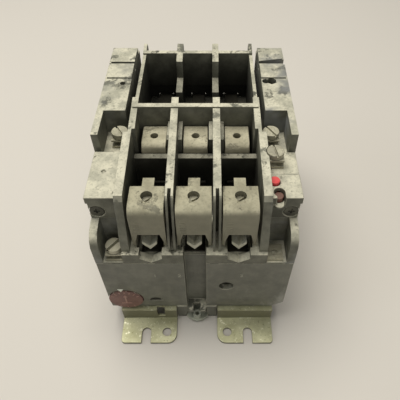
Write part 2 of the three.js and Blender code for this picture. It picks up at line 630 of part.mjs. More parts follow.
function terminalHousing() {
  const bayWall = (POLE_COUNT * POLE_PITCH) / 2;
  const wallEnd = OUTER_RIB_INNER_FACE + 1;
  const blocks = [-1, 1].map(sideBlock);
  const stab = STAB_WIDTH / 2 + 1;
  const body = join(
    block([-BODY_HALF, BODY_HALF], [RIB_FOOT, BODY_REAR], [DECK, FLOOR_TOP]),
    block([-BODY_HALF, BODY_HALF], [BODY_FRONT, CROSS_WALL_BACK], [TRAY, FLOOR_TOP]),
    ...INNER_RIBS.flatMap((x) => [rib(x, RIB_THICKNESS), bayRib(x, RIB_THICKNESS), fin(x, RIB_THICKNESS)]),
    ...[-1, 1].map(outerRib),
    ...[-bayWall, bayWall].flatMap((x) => [
      fin(x, BAY_WALL_THICKNESS),
      block(around(x, BAY_WALL_THICKNESS), [MID_WALL_BACK, BODY_REAR],
        [DECK, BASE_TOP + REAR_WALL_HEIGHT - 1]),
    ]),
    ...INNER_RIBS.flatMap((x) => shoulders(x, RIB_THICKNESS / 2, [-1, 1])),
    block([-wallEnd, wallEnd], [MID_WALL, MID_WALL_BACK], [DECK, RIB_TOP]),
    block([-bayWall, bayWall], [REAR_WALL, BODY_REAR],
      [BASE_TOP + REAR_OPENING_HEIGHT, BASE_TOP + REAR_WALL_HEIGHT]),
    block([-bayWall, bayWall], [BODY_REAR - 0.5, BODY_REAR + REAR_WALL_THICKNESS],
      [DECK, BASE_TOP + REAR_OPENING_HEIGHT + 3]),
    ...blocks.map((b) => b.shape),
    ...[-1, 1].map(ear),
    ...[-1, 1].map((side) => block(onSide(side, [OUTER_RIB_FACE - 1, BODY_HALF - 1]),
      [COVER_FRONT + 1, COVER_FRONT + 1 + FRONT_WALL_THICKNESS], [DECK, coverLowest() - FIT_GAP])),
    ...POLES.map((x) => block(around(x, POLE_PITCH - 1),
      [CROSS_WALL_FRONT, CROSS_WALL_BACK], [DECK, BASE_TOP + CROSS_WALL_HEIGHT])),
    ...POLES.map((x) => cornerPost(x - POLE_PITCH / 2 + RIB_THICKNESS / 2 + CORNER_POST / 2 - 0.2)),
    rodZ(buttonX(), buttonY(), BUTTON_FLANGE_RADIUS - 0.4,
      [DECK, buttonSpringFoot() - SPRING_WIRE - FIT_GAP]),
    ...[-1, 1].map((side) => controlSeat(side, [OUTER_WALL_FRONT - 1, SIDE_BLOCK_FRONT + 1],
      UPPER_SEAT_HEIGHT)),
    ...[-1, 1].map((side) => block(onSide(side, [OUTER_RIB_FACE - 1, BODY_HALF]),
      [OUTER_WALL_FRONT - 1, OUTER_WALL_FRONT + 1], [DECK, BASE_TOP + UPPER_SEAT_HEIGHT])),
  );
  return cut(
    body,
    ...blocks.flatMap((b) => [b.hollow, b.gap]),
    ...INNER_RIBS.map((x) => block(around(x, RIB_SLOT_WIDTH),
      [RIB_FOOT - 1, BODY_FRONT + RIB_TOP_SETBACK + RIB_SLOT_DEPTH], [FLOOR_TOP, RIB_TOP])),
    ...POLES.map((x) => block(around(x, STAB_WIDTH + 2), [MID_WALL_BACK + 3, REAR_WALL - 6],
      [DECK - 1, FLOOR_TOP + 1])),
    ...POLES.map((x) => block([x - stab, x + stab], [BODY_REAR - 1, BODY_REAR + REAR_WALL_THICKNESS + 1],
      [FLOOR_TOP, FLOOR_TOP + STAB_THICKNESS + 2 * FIT_GAP])),
    ...POLES.map((x) => block(around(x, LUG_MOUTH_WIDTH), [LUG_FRONT, CROSS_WALL_FRONT],
      [LUG_FLOOR, FLOOR_TOP + 1])),
    ...POLES.map(guideTrough),
    block(around(0, CHANNEL_WIDTH), [BODY_FRONT - 1, BODY_FRONT + CHANNEL_DEPTH], [TRAY - 1, FLOOR_TOP + 1]),
    ...[-1, 1].map((side) => block(onSide(side, [OUTER_RIB_FACE, BODY_HALF - SIDE_WALL]),
      [BODY_FRONT - 1, COVER_FRONT + 1], [FRONT_SEAT, FLOOR_TOP + 1])),
    ...CONTROLS.map(({ x, y, seat }) => rodZ(x, y, CONTROL_SCREW_RADIUS + FIT_GAP,
      [seat + FIT_GAP, RIB_TOP + 1], 24)),
    ...CONTROLS.map(({ x, y, seat }) => block(around(x, SADDLE_SIZE + 2 * FIT_GAP),
      around(y, SADDLE_SIZE + 1 + 2 * FIT_GAP), [seat, saddleBottom(seat) + SADDLE_THICKNESS + FIT_GAP])),
    ...POLES.map((x) => block(around(x, CONDUCTOR_WIDTH + 2 * FIT_GAP),
      [CROSS_WALL_FRONT - 1, CROSS_WALL_FRONT - FIT_GAP], [LUG_FLOOR, RIB_TOP])),
    ...controlShanks().map(({ x, y, seat }) => rodZ(x, y, CONTROL_SHANK_RADIUS + FIT_GAP,
      [seat - FLOOR_THICKNESS - 1, RIB_TOP], 16)),
    rodZ(-CONTROL_X - 1.4, SIDE_BLOCK_FRONT + 23, 1.5, [RIB_TOP - 10, RIB_TOP], 16),
    rodZ(CONTROL_X + 2.5, SIDE_BLOCK_FRONT + 25, 2.9, [RIB_TOP - 10, RIB_TOP], 6),
    rodZ((POLE_COUNT * POLE_PITCH) / 2 + BAY_WALL_THICKNESS + BAY_SIDE_SLOT + 1.4, SIDE_BLOCK_FRONT + 25, 2,
      [RIB_TOP - 10, RIB_TOP], 16),
  );
}

function controlShanks() {
  return CONTROLS.filter((terminal) => terminal.hasScrew);
}

// ---- side covers -------------------------------------------------------------------------------
// The control block covers: a roof behind a turned-down front with its fixing screw.
function coverShape(side) {
  const top = BASE_TOP + COVER_TOP;
  const back = coverBack(side);
  const inner = OUTER_RIB_FACE + FIT_GAP;
  const brim = onSide(side, [inner, BODY_HALF + COVER_SIDE_OVERHANG]);
  return cut(
    join(
      block(brim, [COVER_FRONT, back], [top - COVER_BRIM_HEIGHT, top]),
      block(onSide(side, [inner, BODY_HALF]), [COVER_FRONT, back], [coverLowest(), top]),
    ),
    block(onSide(side, [inner + COVER_WALL, BODY_HALF - COVER_WALL]),
      [COVER_FRONT + 6, back - COVER_WALL], [coverLowest() - 1, top - COVER_WALL]),
    rodY(coverScrewX(side), coverScrewZ(), COVER_SCREW_RADIUS + FIT_GAP, [COVER_FRONT - 1, COVER_FRONT + 1.6]),
    rodY(coverScrewX(side), coverScrewZ(), 1.5 + FIT_GAP, [COVER_FRONT, COVER_FRONT + 9], 14),
  );
}

function coverLowest() {
  return BASE_TOP + COVER_TOP - COVER_FRONT_HEIGHT - EAR_CLEARANCE;
}

function coverBack(side) {
  return side < 0 ? OUTER_WALL_FRONT - 1 - FIT_GAP : middleSeatFront() - FIT_GAP;
}

function coverScrewX(side) {
  return side * (BODY_HALF - 3.5);
}

function coverScrewZ() {
  return BASE_TOP + COVER_TOP - COVER_SCREW_DROP;
}

function middleSeatFront() {
  return OUTER_WALL_FRONT - MIDDLE_BLOCK_DEPTH;
}

function leftSideCover() {
  const x = -CONTROL_X - 4.5;
  const y = COVER_FRONT + 16.5;
  const top = BASE_TOP + COVER_TOP;
  return cut(
    coverShape(-1),
    block(around(x, 2), around(y, 0.8), [top - 0.7, top + 1]),
    block(around(x, 0.8), around(y, 2), [top - 0.7, top + 1]),
  );
}

function rightSideCover() {
  const top = BASE_TOP + COVER_TOP;
  const lipTop = top - PLUNGER_RECESS - 2;
  const pocket = PLUNGER_RADIUS + FIT_GAP;
  return cut(
    join(
      coverShape(1),
      rodZ(plungerX(), COVER_FRONT + 0.5, pocket, [lipTop - PLUNGER_LIP, lipTop], 24),
    ),
    block([plungerX() - pocket / 2, plungerX() + pocket], [COVER_FRONT - 3, plungerY()], [lipTop, top + 1]),
    rodZ(buttonX(), buttonY(), BUTTON_RADIUS + FIT_GAP, [coverLowest() - 1, top + 1]),
    rodZ(buttonX(), buttonY(), BUTTON_FLANGE_RADIUS + FIT_GAP, [coverLowest() - 1, top - COVER_WALL]),
    rodZ(plungerX(), plungerY(), pocket, [plungerFloor(), top + 1], 24),
  );
}

// The terminal block behind the right cover, which carries the middle screw.
function middleTerminalBlock() {
  const top = BASE_TOP + MIDDLE_SEAT_HEIGHT;
  const across = [OUTER_RIB_FACE + FIT_GAP, BODY_HALF + COVER_SIDE_OVERHANG];
  return cut(
    block(across, [middleSeatFront(), OUTER_WALL_FRONT - 1 - FIT_GAP], [coverLowest(), top]),
    rodZ(CONTROL_X, middleTerminalY(), CONTROL_SHANK_RADIUS + FIT_GAP, [coverLowest() + 3, top + 1], 16),
  );
}

function middleTerminalY() {
  return (middleSeatFront() + OUTER_WALL_FRONT) / 2;
}

// ---- trip button and reset plunger -------------------------------------------------------------
function buttonX() {
  return OUTER_RIB_FACE + FIT_GAP + BUTTON_RADIUS - 0.4;
}

function buttonY() {
  return middleSeatFront() - BUTTON_FLANGE_RADIUS - COVER_WALL;
}

function plungerX() {
  return OUTER_RIB_FACE + 2 * FIT_GAP + PLUNGER_RADIUS + 1;
}

function plungerY() {
  return COVER_FRONT + PLUNGER_RADIUS + 1.4;
}

function plungerTop() {
  return BASE_TOP + COVER_TOP - PLUNGER_RECESS;
}

// Floor of the plunger's pocket, where its spring stands.
function plungerFloor() {
  return plungerTop() - PLUNGER_POCKET_DEPTH;
}

// Push button: a stem through the cover and a flange that stops it from below.
function tripButton() {
  const top = BASE_TOP + COVER_TOP + BUTTON_PROUD;
  const flangeTop = BASE_TOP + COVER_TOP - COVER_WALL - FIT_GAP;
  return cut(
    join(
      rodZ(buttonX(), buttonY(), BUTTON_RADIUS, [flangeTop - 2, top]),
      rodZ(buttonX(), buttonY(), BUTTON_FLANGE_RADIUS, [flangeTop - 2, flangeTop]),
    ),
    block([OUTER_RIB_FACE - 1, OUTER_RIB_FACE + FIT_GAP], around(buttonY(), 8), [flangeTop - 3, top]),
  );
}

function buttonSpringFoot() {
  return BASE_TOP + COVER_TOP - COVER_WALL - FIT_GAP - 2 - FIT_GAP - BUTTON_SPRING_HEIGHT - 2 * SPRING_WIRE;
}

// The recessed plunger with a blind seat for its spring underneath.
function resetPlunger() {
  const bottom = plungerFloor() + FIT_GAP + 2 * SPRING_WIRE + PLUNGER_SPRING_HEIGHT + FIT_GAP;
  return rodZ(plungerX(), plungerY(), PLUNGER_RADIUS, [bottom, plungerTop()], 24);
}

// ---- feet --------------------------------------------------------------------------------------
function foot(side) {
  const riser = BODY_FRONT - FOOT_RISER_SETBACK;
  const front = riser - FOOT_FLANGE;
  const high = BASE_UNDERSIDE - FIT_GAP;
  const across = [FOOT_INNER, FOOT_INNER + FOOT_WIDTH];
  const slotX = FOOT_INNER + FOOT_SLOT_OFFSET;
  const slotEnd = front + FOOT_HOLE_SETBACK;
  const flange = new THREE.Shape();
  flange.moveTo(across[0], riser + FOOT_THICKNESS);
  flange.lineTo(across[0], front + FOOT_CORNER);
  flange.absarc(across[0] + FOOT_CORNER, front + FOOT_CORNER, FOOT_CORNER, Math.PI, 1.5 * Math.PI);
  flange.absarc(across[1] - 2, front + 2, 2, 1.5 * Math.PI, 2 * Math.PI);
  flange.lineTo(across[1], riser + FOOT_THICKNESS);
  const right = cut(
    join(
      prismZ(flange, [0, FOOT_THICKNESS]),
      block(across, [riser, riser + FOOT_THICKNESS], [0, high]),
      block(across, [riser, BODY_FRONT + FOOT_TAIL], [high - FOOT_THICKNESS, high]),
    ),
    block(around(slotX, FOOT_SLOT_WIDTH), [front - 1, slotEnd], [-1, FOOT_THICKNESS + 1]),
    rodZ(slotX, slotEnd, FOOT_SLOT_WIDTH / 2, [-1, FOOT_THICKNESS + 1], 24),
    rodZ(FOOT_INNER + FOOT_HOLE_OFFSET, front + FOOT_HOLE_SETBACK, FOOT_HOLE_RADIUS,
      [-1, FOOT_THICKNESS + 1], 24),
    rodZ(...footScrewPlaces()[1], FOOT_SCREW_RADIUS + FIT_GAP, [high - 3, high + 1], 16),
  );
  if (side > 0) return right;
  const riserNotch = block(around(CREASE_HOLE_X + 1.7, 4.2), [riser - 1, riser + FOOT_THICKNESS + 1],
    [FOOT_THICKNESS + 2.5, high + 1]);
  return cut(right.mirror([1, 0, 0]), riserNotch);
}

function footScrew([x, y]) {
  const seat = BASE_UNDERSIDE - FIT_GAP - FOOT_THICKNESS - FIT_GAP;
  return join(
    rodZ(x, y, FOOT_SCREW_HEAD_RADIUS, [seat - 2, seat]),
    rodZ(x, y, FOOT_SCREW_RADIUS, [seat - 1, BASE_FLOOR + 0.6], 16),
  );
}

// ---- rail latch --------------------------------------------------------------------------------
function railLatch() {
  const low = LATCH_HEIGHT;
  const high = LATCH_HEIGHT + LATCH_THICKNESS;
  const half = LATCH_WIDTH / 2;
  const front = BODY_FRONT - LATCH_REACH;
  const hookFace = RAIL_FRONT - RAIL_CLEARANCE;
  const lip = outline([
    [-half, BODY_FRONT - 1],
    [-half / 2, front + 0.8],
    [0, front],
    [half / 2, front + 0.8],
    [half, BODY_FRONT - 1],
    [half, hookFace],
    [-half, hookFace],
  ]);
  const eyeY = BODY_FRONT - 1;
  return cut(
    join(
      prismZ(lip, [low, high]),
      rodZ(0, eyeY, LATCH_EYE_RADIUS, [low, high + LATCH_EYE_HEIGHT]),
      block([-half, half], [hookFace - 2, hookFace], [low, RAIL_HEIGHT - FIT_GAP]),
      block([-half, half], [hookFace - 2, hookFace + HOOK_REACH], [low, RAIL_HEIGHT - 2]),
    ),
    rodZ(0, eyeY, LATCH_EYE_BORE, [low - 1, high + LATCH_EYE_HEIGHT + 1], 12),
  );
}

// ---- dial --------------------------------------------------------------------------------------
function adjustingDial() {
  const front = BODY_FRONT - DIAL_PROUD;
  return join(
    rodY(0, 0, DIAL_RADIUS, [front, dialBack()], 40),
    rodY(0, 0, DIAL_SHAFT_RADIUS, [dialBack() - 1, dialBack() + DIAL_SHAFT_LENGTH], 24),
  );
}

function dialCam() {
  const front = dialBack() + DIAL_SHAFT_LENGTH + FIT_GAP;
  return rodY(CAM_THROW, 0, CAM_RADIUS, [front, front + CAM_THICKNESS], 24);
}

// ---- box lugs ----------------------------------------------------------------------------------
function lugCover(x) {
  const low = FLOOR_TOP + LUG_COVER_LIFT;
  const side = new THREE.Shape();
  side.moveTo(LUG_FRONT, low);
  side.lineTo(LUG_BACK, low);
  side.lineTo(LUG_BACK, LUG_ROOF - 1.5);
  side.lineTo(LUG_BACK - 1.5, LUG_ROOF);
  side.lineTo(LUG_FRONT + LUG_ROUND, LUG_ROOF);
  side.absarc(LUG_FRONT + LUG_ROUND, LUG_ROOF - LUG_ROUND, LUG_ROUND, Math.PI / 2, Math.PI);
  const mouth = outline([
    [x - LUG_MOUTH_WIDTH / 2, low - 1],
    [x + LUG_MOUTH_WIDTH / 2, low - 1],
    [x + LUG_MOUTH_WIDTH / 2, low + LUG_MOUTH_HEIGHT / 3],
    [x + LUG_MOUTH_TOP_WIDTH / 2, low + LUG_MOUTH_HEIGHT],
    [x - LUG_MOUTH_TOP_WIDTH / 2, low + LUG_MOUTH_HEIGHT],
    [x - LUG_MOUTH_WIDTH / 2, low + LUG_MOUTH_HEIGHT / 3],
  ]);
  return cut(
    join(
      prismX(side, around(x, LUG_WIDTH)),
      block(around(x, LUG_TAB_WIDTH), [LUG_BACK - 2, LUG_BACK + LUG_TAB_LENGTH], [LUG_ROOF - 2.4, LUG_ROOF - 0.6]),
    ),
    block(around(x, LUG_WIDTH - 2 * LUG_WALL), [LUG_FRONT + LUG_WALL, LUG_BACK - LUG_WALL],
      [low - 1, LUG_ROOF - LUG_WALL - 1.5]),
    prismY(mouth, [LUG_FRONT - 1, LUG_FRONT + LUG_WALL + 1]),
    rodZ(x, LUG_AXIS, LUG_ACCESS_RADIUS, [LUG_ROOF - 5, LUG_ROOF + 1], 24),
    block(around(x, 3.4), [LUG_AXIS - 4.3, LUG_AXIS - 1.5], [LUG_ROOF - 1, LUG_ROOF + 1]),
  );
}

// The threaded plate under the lug cover's roof; the clamp screw runs in it.
function lugNut(x) {
  const top = lugScrewHead() - CLAMP_TRAVEL - FIT_GAP;
  const inside = LUG_WIDTH - 2 * LUG_WALL - 2 * FIT_GAP;
  const depth = [LUG_FRONT + LUG_WALL + FIT_GAP, LUG_BACK - LUG_WALL - FIT_GAP];
  return cut(
    block(around(x, inside), depth, [top - NUT_PLATE_THICKNESS, top]),
    rodZ(x, LUG_AXIS, LUG_SCREW_RADIUS + FIT_GAP, [top - NUT_PLATE_THICKNESS - 1, top + 1]),
  );
}

function lugScrewHead() {
  return LUG_ROOF - LUG_WALL - 1.5 - FIT_GAP - LUG_SCREW_HEAD;
}

function clampTip() {
  return CONDUCTOR_TOP + CLAMP_OPENING;
}

// V-shaped pressure piece, its edge pointing down at the wire.
function lugClamp(x) {
  const half = CLAMP_WIDTH / 2;
  const tip = clampTip();
  const front = LUG_FRONT - CLAMP_PROUD;
  const shape = outline([
    [x, tip],
    [x + half, tip + CLAMP_DROP],
    [x + half, tip + CLAMP_DROP + CLAMP_PLATE],
    [x, tip + CLAMP_PLATE + 0.6],
    [x - half, tip + CLAMP_DROP + CLAMP_PLATE],
    [x - half, tip + CLAMP_DROP],
  ]);
  const screwPad = block(around(x, 5), around(LUG_AXIS, 5), [tip + CLAMP_PLATE, tip + CLAMP_DROP + CLAMP_PLATE]);
  return join(prismY(shape, [front, front + CLAMP_LENGTH]), screwPad);
}

function slotted(x, y, radius, bottom, height, angle) {
  const slot = new THREE.BoxGeometry(2 * radius + 1, SCREW_SLOT_WIDTH, 2 * SCREW_SLOT_DEPTH);
  slot.rotateZ(angle).translate(x, y, bottom + height);
  return cut(rodZ(x, y, radius, [bottom, bottom + height], 24), solid(slot));
}

function lugScrew() {
  const bottom = clampTip() + CLAMP_DROP + CLAMP_PLATE + FIT_GAP;
  const head = lugScrewHead();
  return join(
    rodZ(0, 0, LUG_SCREW_RADIUS, [bottom, head + 1]),
    slotted(0, 0, LUG_SCREW_HEAD_RADIUS, head, LUG_SCREW_HEAD, 0.6),
  );
}

// Strip that carries the pole's current from the lug floor back to the heater terminal.
function loadConductor(x) {
  const low = LUG_FLOOR + FIT_GAP;
  const foot = CROSS_WALL_FRONT - FIT_GAP;
  return join(
    block(around(x, CONDUCTOR_WIDTH), [LUG_FRONT + 1.6, foot], [low, low + CONDUCTOR_THICKNESS]),
    block(around(x, CONDUCTOR_WIDTH), [foot - 1.5, foot], [low, FLOOR_TOP + 5]),
  );
}

// ---- heater terminals and line stabs -----------------------------------------------------------
function heaterTerminal(x) {
  const top = BASE_TOP + HEATER_TERMINAL_TOP;
  const back = MID_WALL - FIT_GAP;
  const front = back - HEATER_TERMINAL_DEPTH;
  const side = new THREE.Shape();
  side.moveTo(front, top - HEATER_TERMINAL_HEIGHT);
  side.lineTo(back, top - HEATER_TERMINAL_HEIGHT);
  side.lineTo(back, top);
  side.lineTo(front + HEATER_ROUND, top);
  side.absarc(front + HEATER_ROUND, top - HEATER_ROUND, HEATER_ROUND, Math.PI / 2, Math.PI);
  return cut(
    prismX(side, around(x, HEATER_TERMINAL_WIDTH)),
    rodZ(x, MID_WALL - HEATER_TERMINAL_DEPTH / 2, HEATER_HOLE_RADIUS, [top - 7, top + 1]),
    block(around(x, HEATER_TERMINAL_WIDTH - 3), [front + 2, back - 2],
      [top - HEATER_TERMINAL_HEIGHT - 1, top - 7.5]),
  );
}

function lineStab(x) {
  const low = FLOOR_TOP + FIT_GAP;
  return join(
    block(around(x, STAB_WIDTH), [MID_WALL_BACK + FIT_GAP + 3, BODY_REAR + STAB_OVERHANG],
      [low, low + STAB_THICKNESS]),
    block(around(x, STAB_WIDTH), [MID_WALL_BACK + FIT_GAP + 3, MID_WALL_BACK + FIT_GAP + 5],
      [low, low + 10]),
  );
}

// ---- control terminals -------------------------------------------------------------------------
const CONTROLS = [
  { name: 'left_rear', x: -CONTROL_X, y: OUTER_WALL_FRONT + REAR_SCREW_SETBACK, seat: BASE_TOP + UPPER_SEAT_HEIGHT,
    angle: -1, hasScrew: true },
  { name: 'right_rear', x: CONTROL_X, y: OUTER_WALL_FRONT + REAR_SCREW_SETBACK, seat: BASE_TOP + UPPER_SEAT_HEIGHT,
    angle: -1, hasScrew: true },
  { name: 'right_middle', x: CONTROL_X, y: middleTerminalY(), seat: BASE_TOP + MIDDLE_SEAT_HEIGHT,
    angle: -1.4, hasScrew: true },
  { name: 'left_front', x: -FRONT_CONTROL_X, y: BODY_FRONT + FRONT_SCREW_SETBACK, seat: FRONT_SEAT,
    angle: 0.9, hasScrew: true },
  { name: 'right_front', x: FRONT_CONTROL_X, y: BODY_FRONT + FRONT_SCREW_SETBACK, seat: FRONT_SEAT,
    angle: 0, hasScrew: false },
];

function contactPlate({ x, y, seat, hasScrew }) {
  const low = seat + FIT_GAP;
  const hole = hasScrew ? CONTROL_SHANK_RADIUS + FIT_GAP : 1.4;
  return cut(
    block(around(x, SADDLE_SIZE), around(y, SADDLE_SIZE + 1), [low, low + CONTACT_PLATE_THICKNESS]),
    rodZ(x, y, hole, [low - 1, low + CONTACT_PLATE_THICKNESS + 1], 16),
  );
}

function saddleBottom(seat) {
  return seat + FIT_GAP + CONTACT_PLATE_THICKNESS + SADDLE_LIFT;
}

function shankBottom(seat) {
  return saddleBottom(seat) + SADDLE_THICKNESS + FIT_GAP - CONTROL_SHANK_LENGTH;
}

function saddle({ x, y, seat }) {
  const low = saddleBottom(seat);
  return cut(
    block(around(x, SADDLE_SIZE), around(y, SADDLE_SIZE), [low, low + SADDLE_THICKNESS]),
    rodZ(x, y, CONTROL_SHANK_RADIUS + FIT_GAP, [low - 1, low + SADDLE_THICKNESS + 1], 16),
  );
}

function controlScrew({ x, y, seat, angle }) {
  const head = saddleBottom(seat) + SADDLE_THICKNESS + FIT_GAP;
  return join(
    slotted(x, y, CONTROL_SCREW_RADIUS, head, CONTROL_SCREW_HEAD, angle),
    rodZ(x, y, CONTROL_SHANK_RADIUS, [shankBottom(seat), head + 0.5], 16),
  );
}

function coverScrew(side) {
  const x = coverScrewX(side);
  const z = coverScrewZ();
  const head = COVER_FRONT + 1.6 - FIT_GAP;
  return cut(
    join(
      rodY(x, z, COVER_SCREW_RADIUS, [COVER_FRONT + 0.2, head]),
      rodY(x, z, 1.5, [head - 0.5, COVER_FRONT + 8], 14),
    ),
    block(around(x, 3), [COVER_FRONT - 1, COVER_FRONT + 0.9], around(z, 0.7)),
    block(around(x, 0.7), [COVER_FRONT - 1, COVER_FRONT + 0.9], around(z, 3)),
  );
}

// ---- trip works inside the lower moulding ------------------------------------------------------
function tripBarZ() {
  return BASE_TOP - TRIP_BAR_HEIGHT - 3;
}

function tripBar() {
  const { x: leverX, y } = leverPlace();
  const reach = leverX - LEVER_THICKNESS / 2 - FIT_GAP;
  const low = tripBarZ();
  return join(
    block([POLES[0] - POLE_PITCH / 2, reach], around(y, TRIP_BAR_DEPTH), [low, low + TRIP_BAR_HEIGHT]),
    ...POLES.map((x) => block(around(x - 2, 2), [y, y + TRIP_FINGER], [low, low + TRIP_BAR_HEIGHT + 1.5])),
  );
}

function leverPlace() {
  return { x: (POLE_COUNT * POLE_PITCH) / 2 + 6, y: MID_WALL_BACK + 12, z: tripBarZ() - LEVER_LENGTH / 2 };
}

function tripLever() {
  const { x, y, z } = leverPlace();
  return cut(
    block(around(x, LEVER_THICKNESS), around(y, TRIP_BAR_DEPTH),
      [z - LEVER_LENGTH / 2, z + LEVER_LENGTH / 2 + TRIP_BAR_HEIGHT / 2]),
    rodY(x, z, PIN_RADIUS + FIT_GAP / 2, around(y, TRIP_BAR_DEPTH + 2), 12),
  );
}

function leverPin() {
  const { x, y, z } = leverPlace();
  return rodY(x, z, PIN_RADIUS - FIT_GAP / 2, around(y, TRIP_BAR_DEPTH + 6), 12);
}

function carrierPlace() {
  return { x: POLES[POLE_COUNT - 1] + 4, y: MID_WALL - 14, z: BASE_FLOOR + 6 };
}

function contactCarrier() {
  const { x, y, z } = carrierPlace();
  return cut(
    block(around(x, CARRIER_WIDTH), around(y, CARRIER_WIDTH), [z, z + CARRIER_HEIGHT]),
    block(around(x, CARRIER_WIDTH + 2), around(y, 5), [z + 5, z + 8]),
  );
}

function contactBridge() {
  const { x, y, z } = carrierPlace();
  return block(around(x, BRIDGE_LENGTH), around(y, 4), [z + 5 + FIT_GAP, z + 8 - FIT_GAP]);
}

function fixedContact(side) {
  const { x, y, z } = carrierPlace();
  const inner = BRIDGE_LENGTH / 2 - 4;
  const top = z + 5 + FIT_GAP - CONTACT_OPEN_GAP;
  return join(
    block(onSide(side, [inner, inner + 6]).map((a) => a + x), around(y, 4), [top - 1.2, top]),
    block(onSide(side, [inner + 4.5, inner + 6]).map((a) => a + x), around(y, 4),
      [BASE_FLOOR + FIT_GAP, top]),
  );
}

// ---- assembly ----------------------------------------------------------------------------------
const SIDES = [['left', -1], ['right', 1]];

addPart('base_housing', baseHousing(), bodyPlastic);
addPart('terminal_housing', terminalHousing(), bodyPlastic);
addPart('left_side_cover', leftSideCover(), coverPlastic);
addPart('right_side_cover', rightSideCover(), coverPlastic);
addPart('middle_terminal_block', middleTerminalBlock(), bodyPlastic);
for (const [word, side] of SIDES) {
  addPart(`${word}_foot`, foot(side), zincPlate);
  addPart(`${word}_foot_screw`, footScrew(footScrewPlaces()[side > 0 ? 1 : 0]), screwSteel);
  addPart(`${word}_cover_screw`, coverScrew(side), screwSteel);
}
addPart('rail_latch', railLatch(), zincPlate);
addPart('trip_button', tripButton(), buttonPlastic);
addSpring('trip_button_spring', [buttonX(), buttonY(), buttonSpringFoot()], BUTTON_SPRING_HEIGHT,
  BUTTON_SPRING_TURNS);
addPart('reset_plunger', resetPlunger(), plungerPlastic);
addSpring('reset_plunger_spring', [plungerX(), plungerY(), plungerFloor() + FIT_GAP + SPRING_WIRE],
  PLUNGER_SPRING_HEIGHT, PLUNGER_SPRING_TURNS);

POLES.forEach((x, i) => {
  const pole = i + 1;
  addPart(`lug_cover_${pole}`, lugCover(x), lugPlastic);
  addPart(`lug_nut_${pole}`, lugNut(x), screwSteel);
  addPart(`lug_clamp_${pole}`, lugClamp(x), screwSteel);
  addPart(`lug_screw_${pole}`, lugScrew(), screwSteel).position.set(x, LUG_AXIS, 0);
  addPart(`load_conductor_${pole}`, loadConductor(x), copperAlloy);
  addPart(`heater_terminal_${pole}`, heaterTerminal(x), copperAlloy);
  addPart(`line_stab_${pole}`, lineStab(x), copperAlloy);
});

for (const terminal of CONTROLS) {
  addPart(`${terminal.name}_contact_plate`, contactPlate(terminal), copperAlloy);
  if (terminal.hasScrew) {
    addPart(`${terminal.name}_saddle`, saddle(terminal), screwSteel);
    addPart(`${terminal.name}_screw`, controlScrew(terminal), screwSteel);
  }
}

const dial = new THREE.Group();
dial.position.set(DIAL_X, 0, DIAL_Z);
addPart('adjusting_dial', adjustingDial(), dialPlastic, dial);
addPart('dial_cam', dialCam(), plungerPlastic, dial);
model.add(dial);

addPart('trip_bar', tripBar(), dialPlastic);
addPart('trip_lever', tripLever(), plungerPlastic);
addPart('lever_pin', leverPin(), screwSteel);
addPart('contact_carrier', contactCarrier(), plungerPlastic);
addPart('contact_bridge', contactBridge(), copperAlloy);
for (const [word, side] of SIDES) {
  addPart(`${word}_fixed_contact`, fixedContact(side), copperAlloy);
}

// The origin is under the middle of the whole relay, on the mounting face.
const wholeFront = BODY_FRONT - FOOT_RISER_SETBACK - FOOT_FLANGE;
const wholeBack = BODY_REAR + FIN_REACH;
model.position.y = -(wholeFront + wholeBack) / 2;

export default model;
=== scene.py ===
# %% [markdown]
# # A dusty three-pole overload relay
# The relay's solids, joints and sizes are already fixed. This lesson gives them soft
# edges, dust and worn metal, adds the small raised marks, and lights the whole thing.

# %% Load the relay as a fixed frame
import json
import math
import bpy
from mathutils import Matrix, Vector


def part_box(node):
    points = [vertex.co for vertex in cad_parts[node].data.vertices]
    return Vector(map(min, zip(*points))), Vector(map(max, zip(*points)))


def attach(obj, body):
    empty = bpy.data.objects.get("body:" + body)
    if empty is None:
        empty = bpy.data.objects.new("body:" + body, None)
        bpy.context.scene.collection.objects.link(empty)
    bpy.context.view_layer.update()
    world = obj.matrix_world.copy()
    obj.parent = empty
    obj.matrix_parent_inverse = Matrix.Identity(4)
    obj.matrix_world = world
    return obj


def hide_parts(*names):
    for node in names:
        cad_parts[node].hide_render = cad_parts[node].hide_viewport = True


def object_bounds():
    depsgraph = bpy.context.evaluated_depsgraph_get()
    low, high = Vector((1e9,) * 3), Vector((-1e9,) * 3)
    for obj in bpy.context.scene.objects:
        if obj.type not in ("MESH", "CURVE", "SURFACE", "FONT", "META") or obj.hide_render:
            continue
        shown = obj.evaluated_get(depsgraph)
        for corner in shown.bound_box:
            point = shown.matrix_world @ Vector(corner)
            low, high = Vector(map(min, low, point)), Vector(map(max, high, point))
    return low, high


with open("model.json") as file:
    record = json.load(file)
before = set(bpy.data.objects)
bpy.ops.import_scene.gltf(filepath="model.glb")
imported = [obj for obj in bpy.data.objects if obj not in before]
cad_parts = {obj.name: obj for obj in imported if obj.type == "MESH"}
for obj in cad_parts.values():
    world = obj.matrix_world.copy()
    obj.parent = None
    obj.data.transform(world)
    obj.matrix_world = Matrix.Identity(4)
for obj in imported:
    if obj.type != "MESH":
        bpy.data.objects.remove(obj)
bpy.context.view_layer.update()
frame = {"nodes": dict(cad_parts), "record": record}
body_of = {
    node: body
    for body, nodes in frame["record"]["behaviour"]["bodies"].items()
    for node in nodes
}

# %% [markdown]
# ## The camera
# The camera hangs over the load end and looks down at the relay at about fifty degrees.
# Placing it first means that every later choice can be judged in the same view.

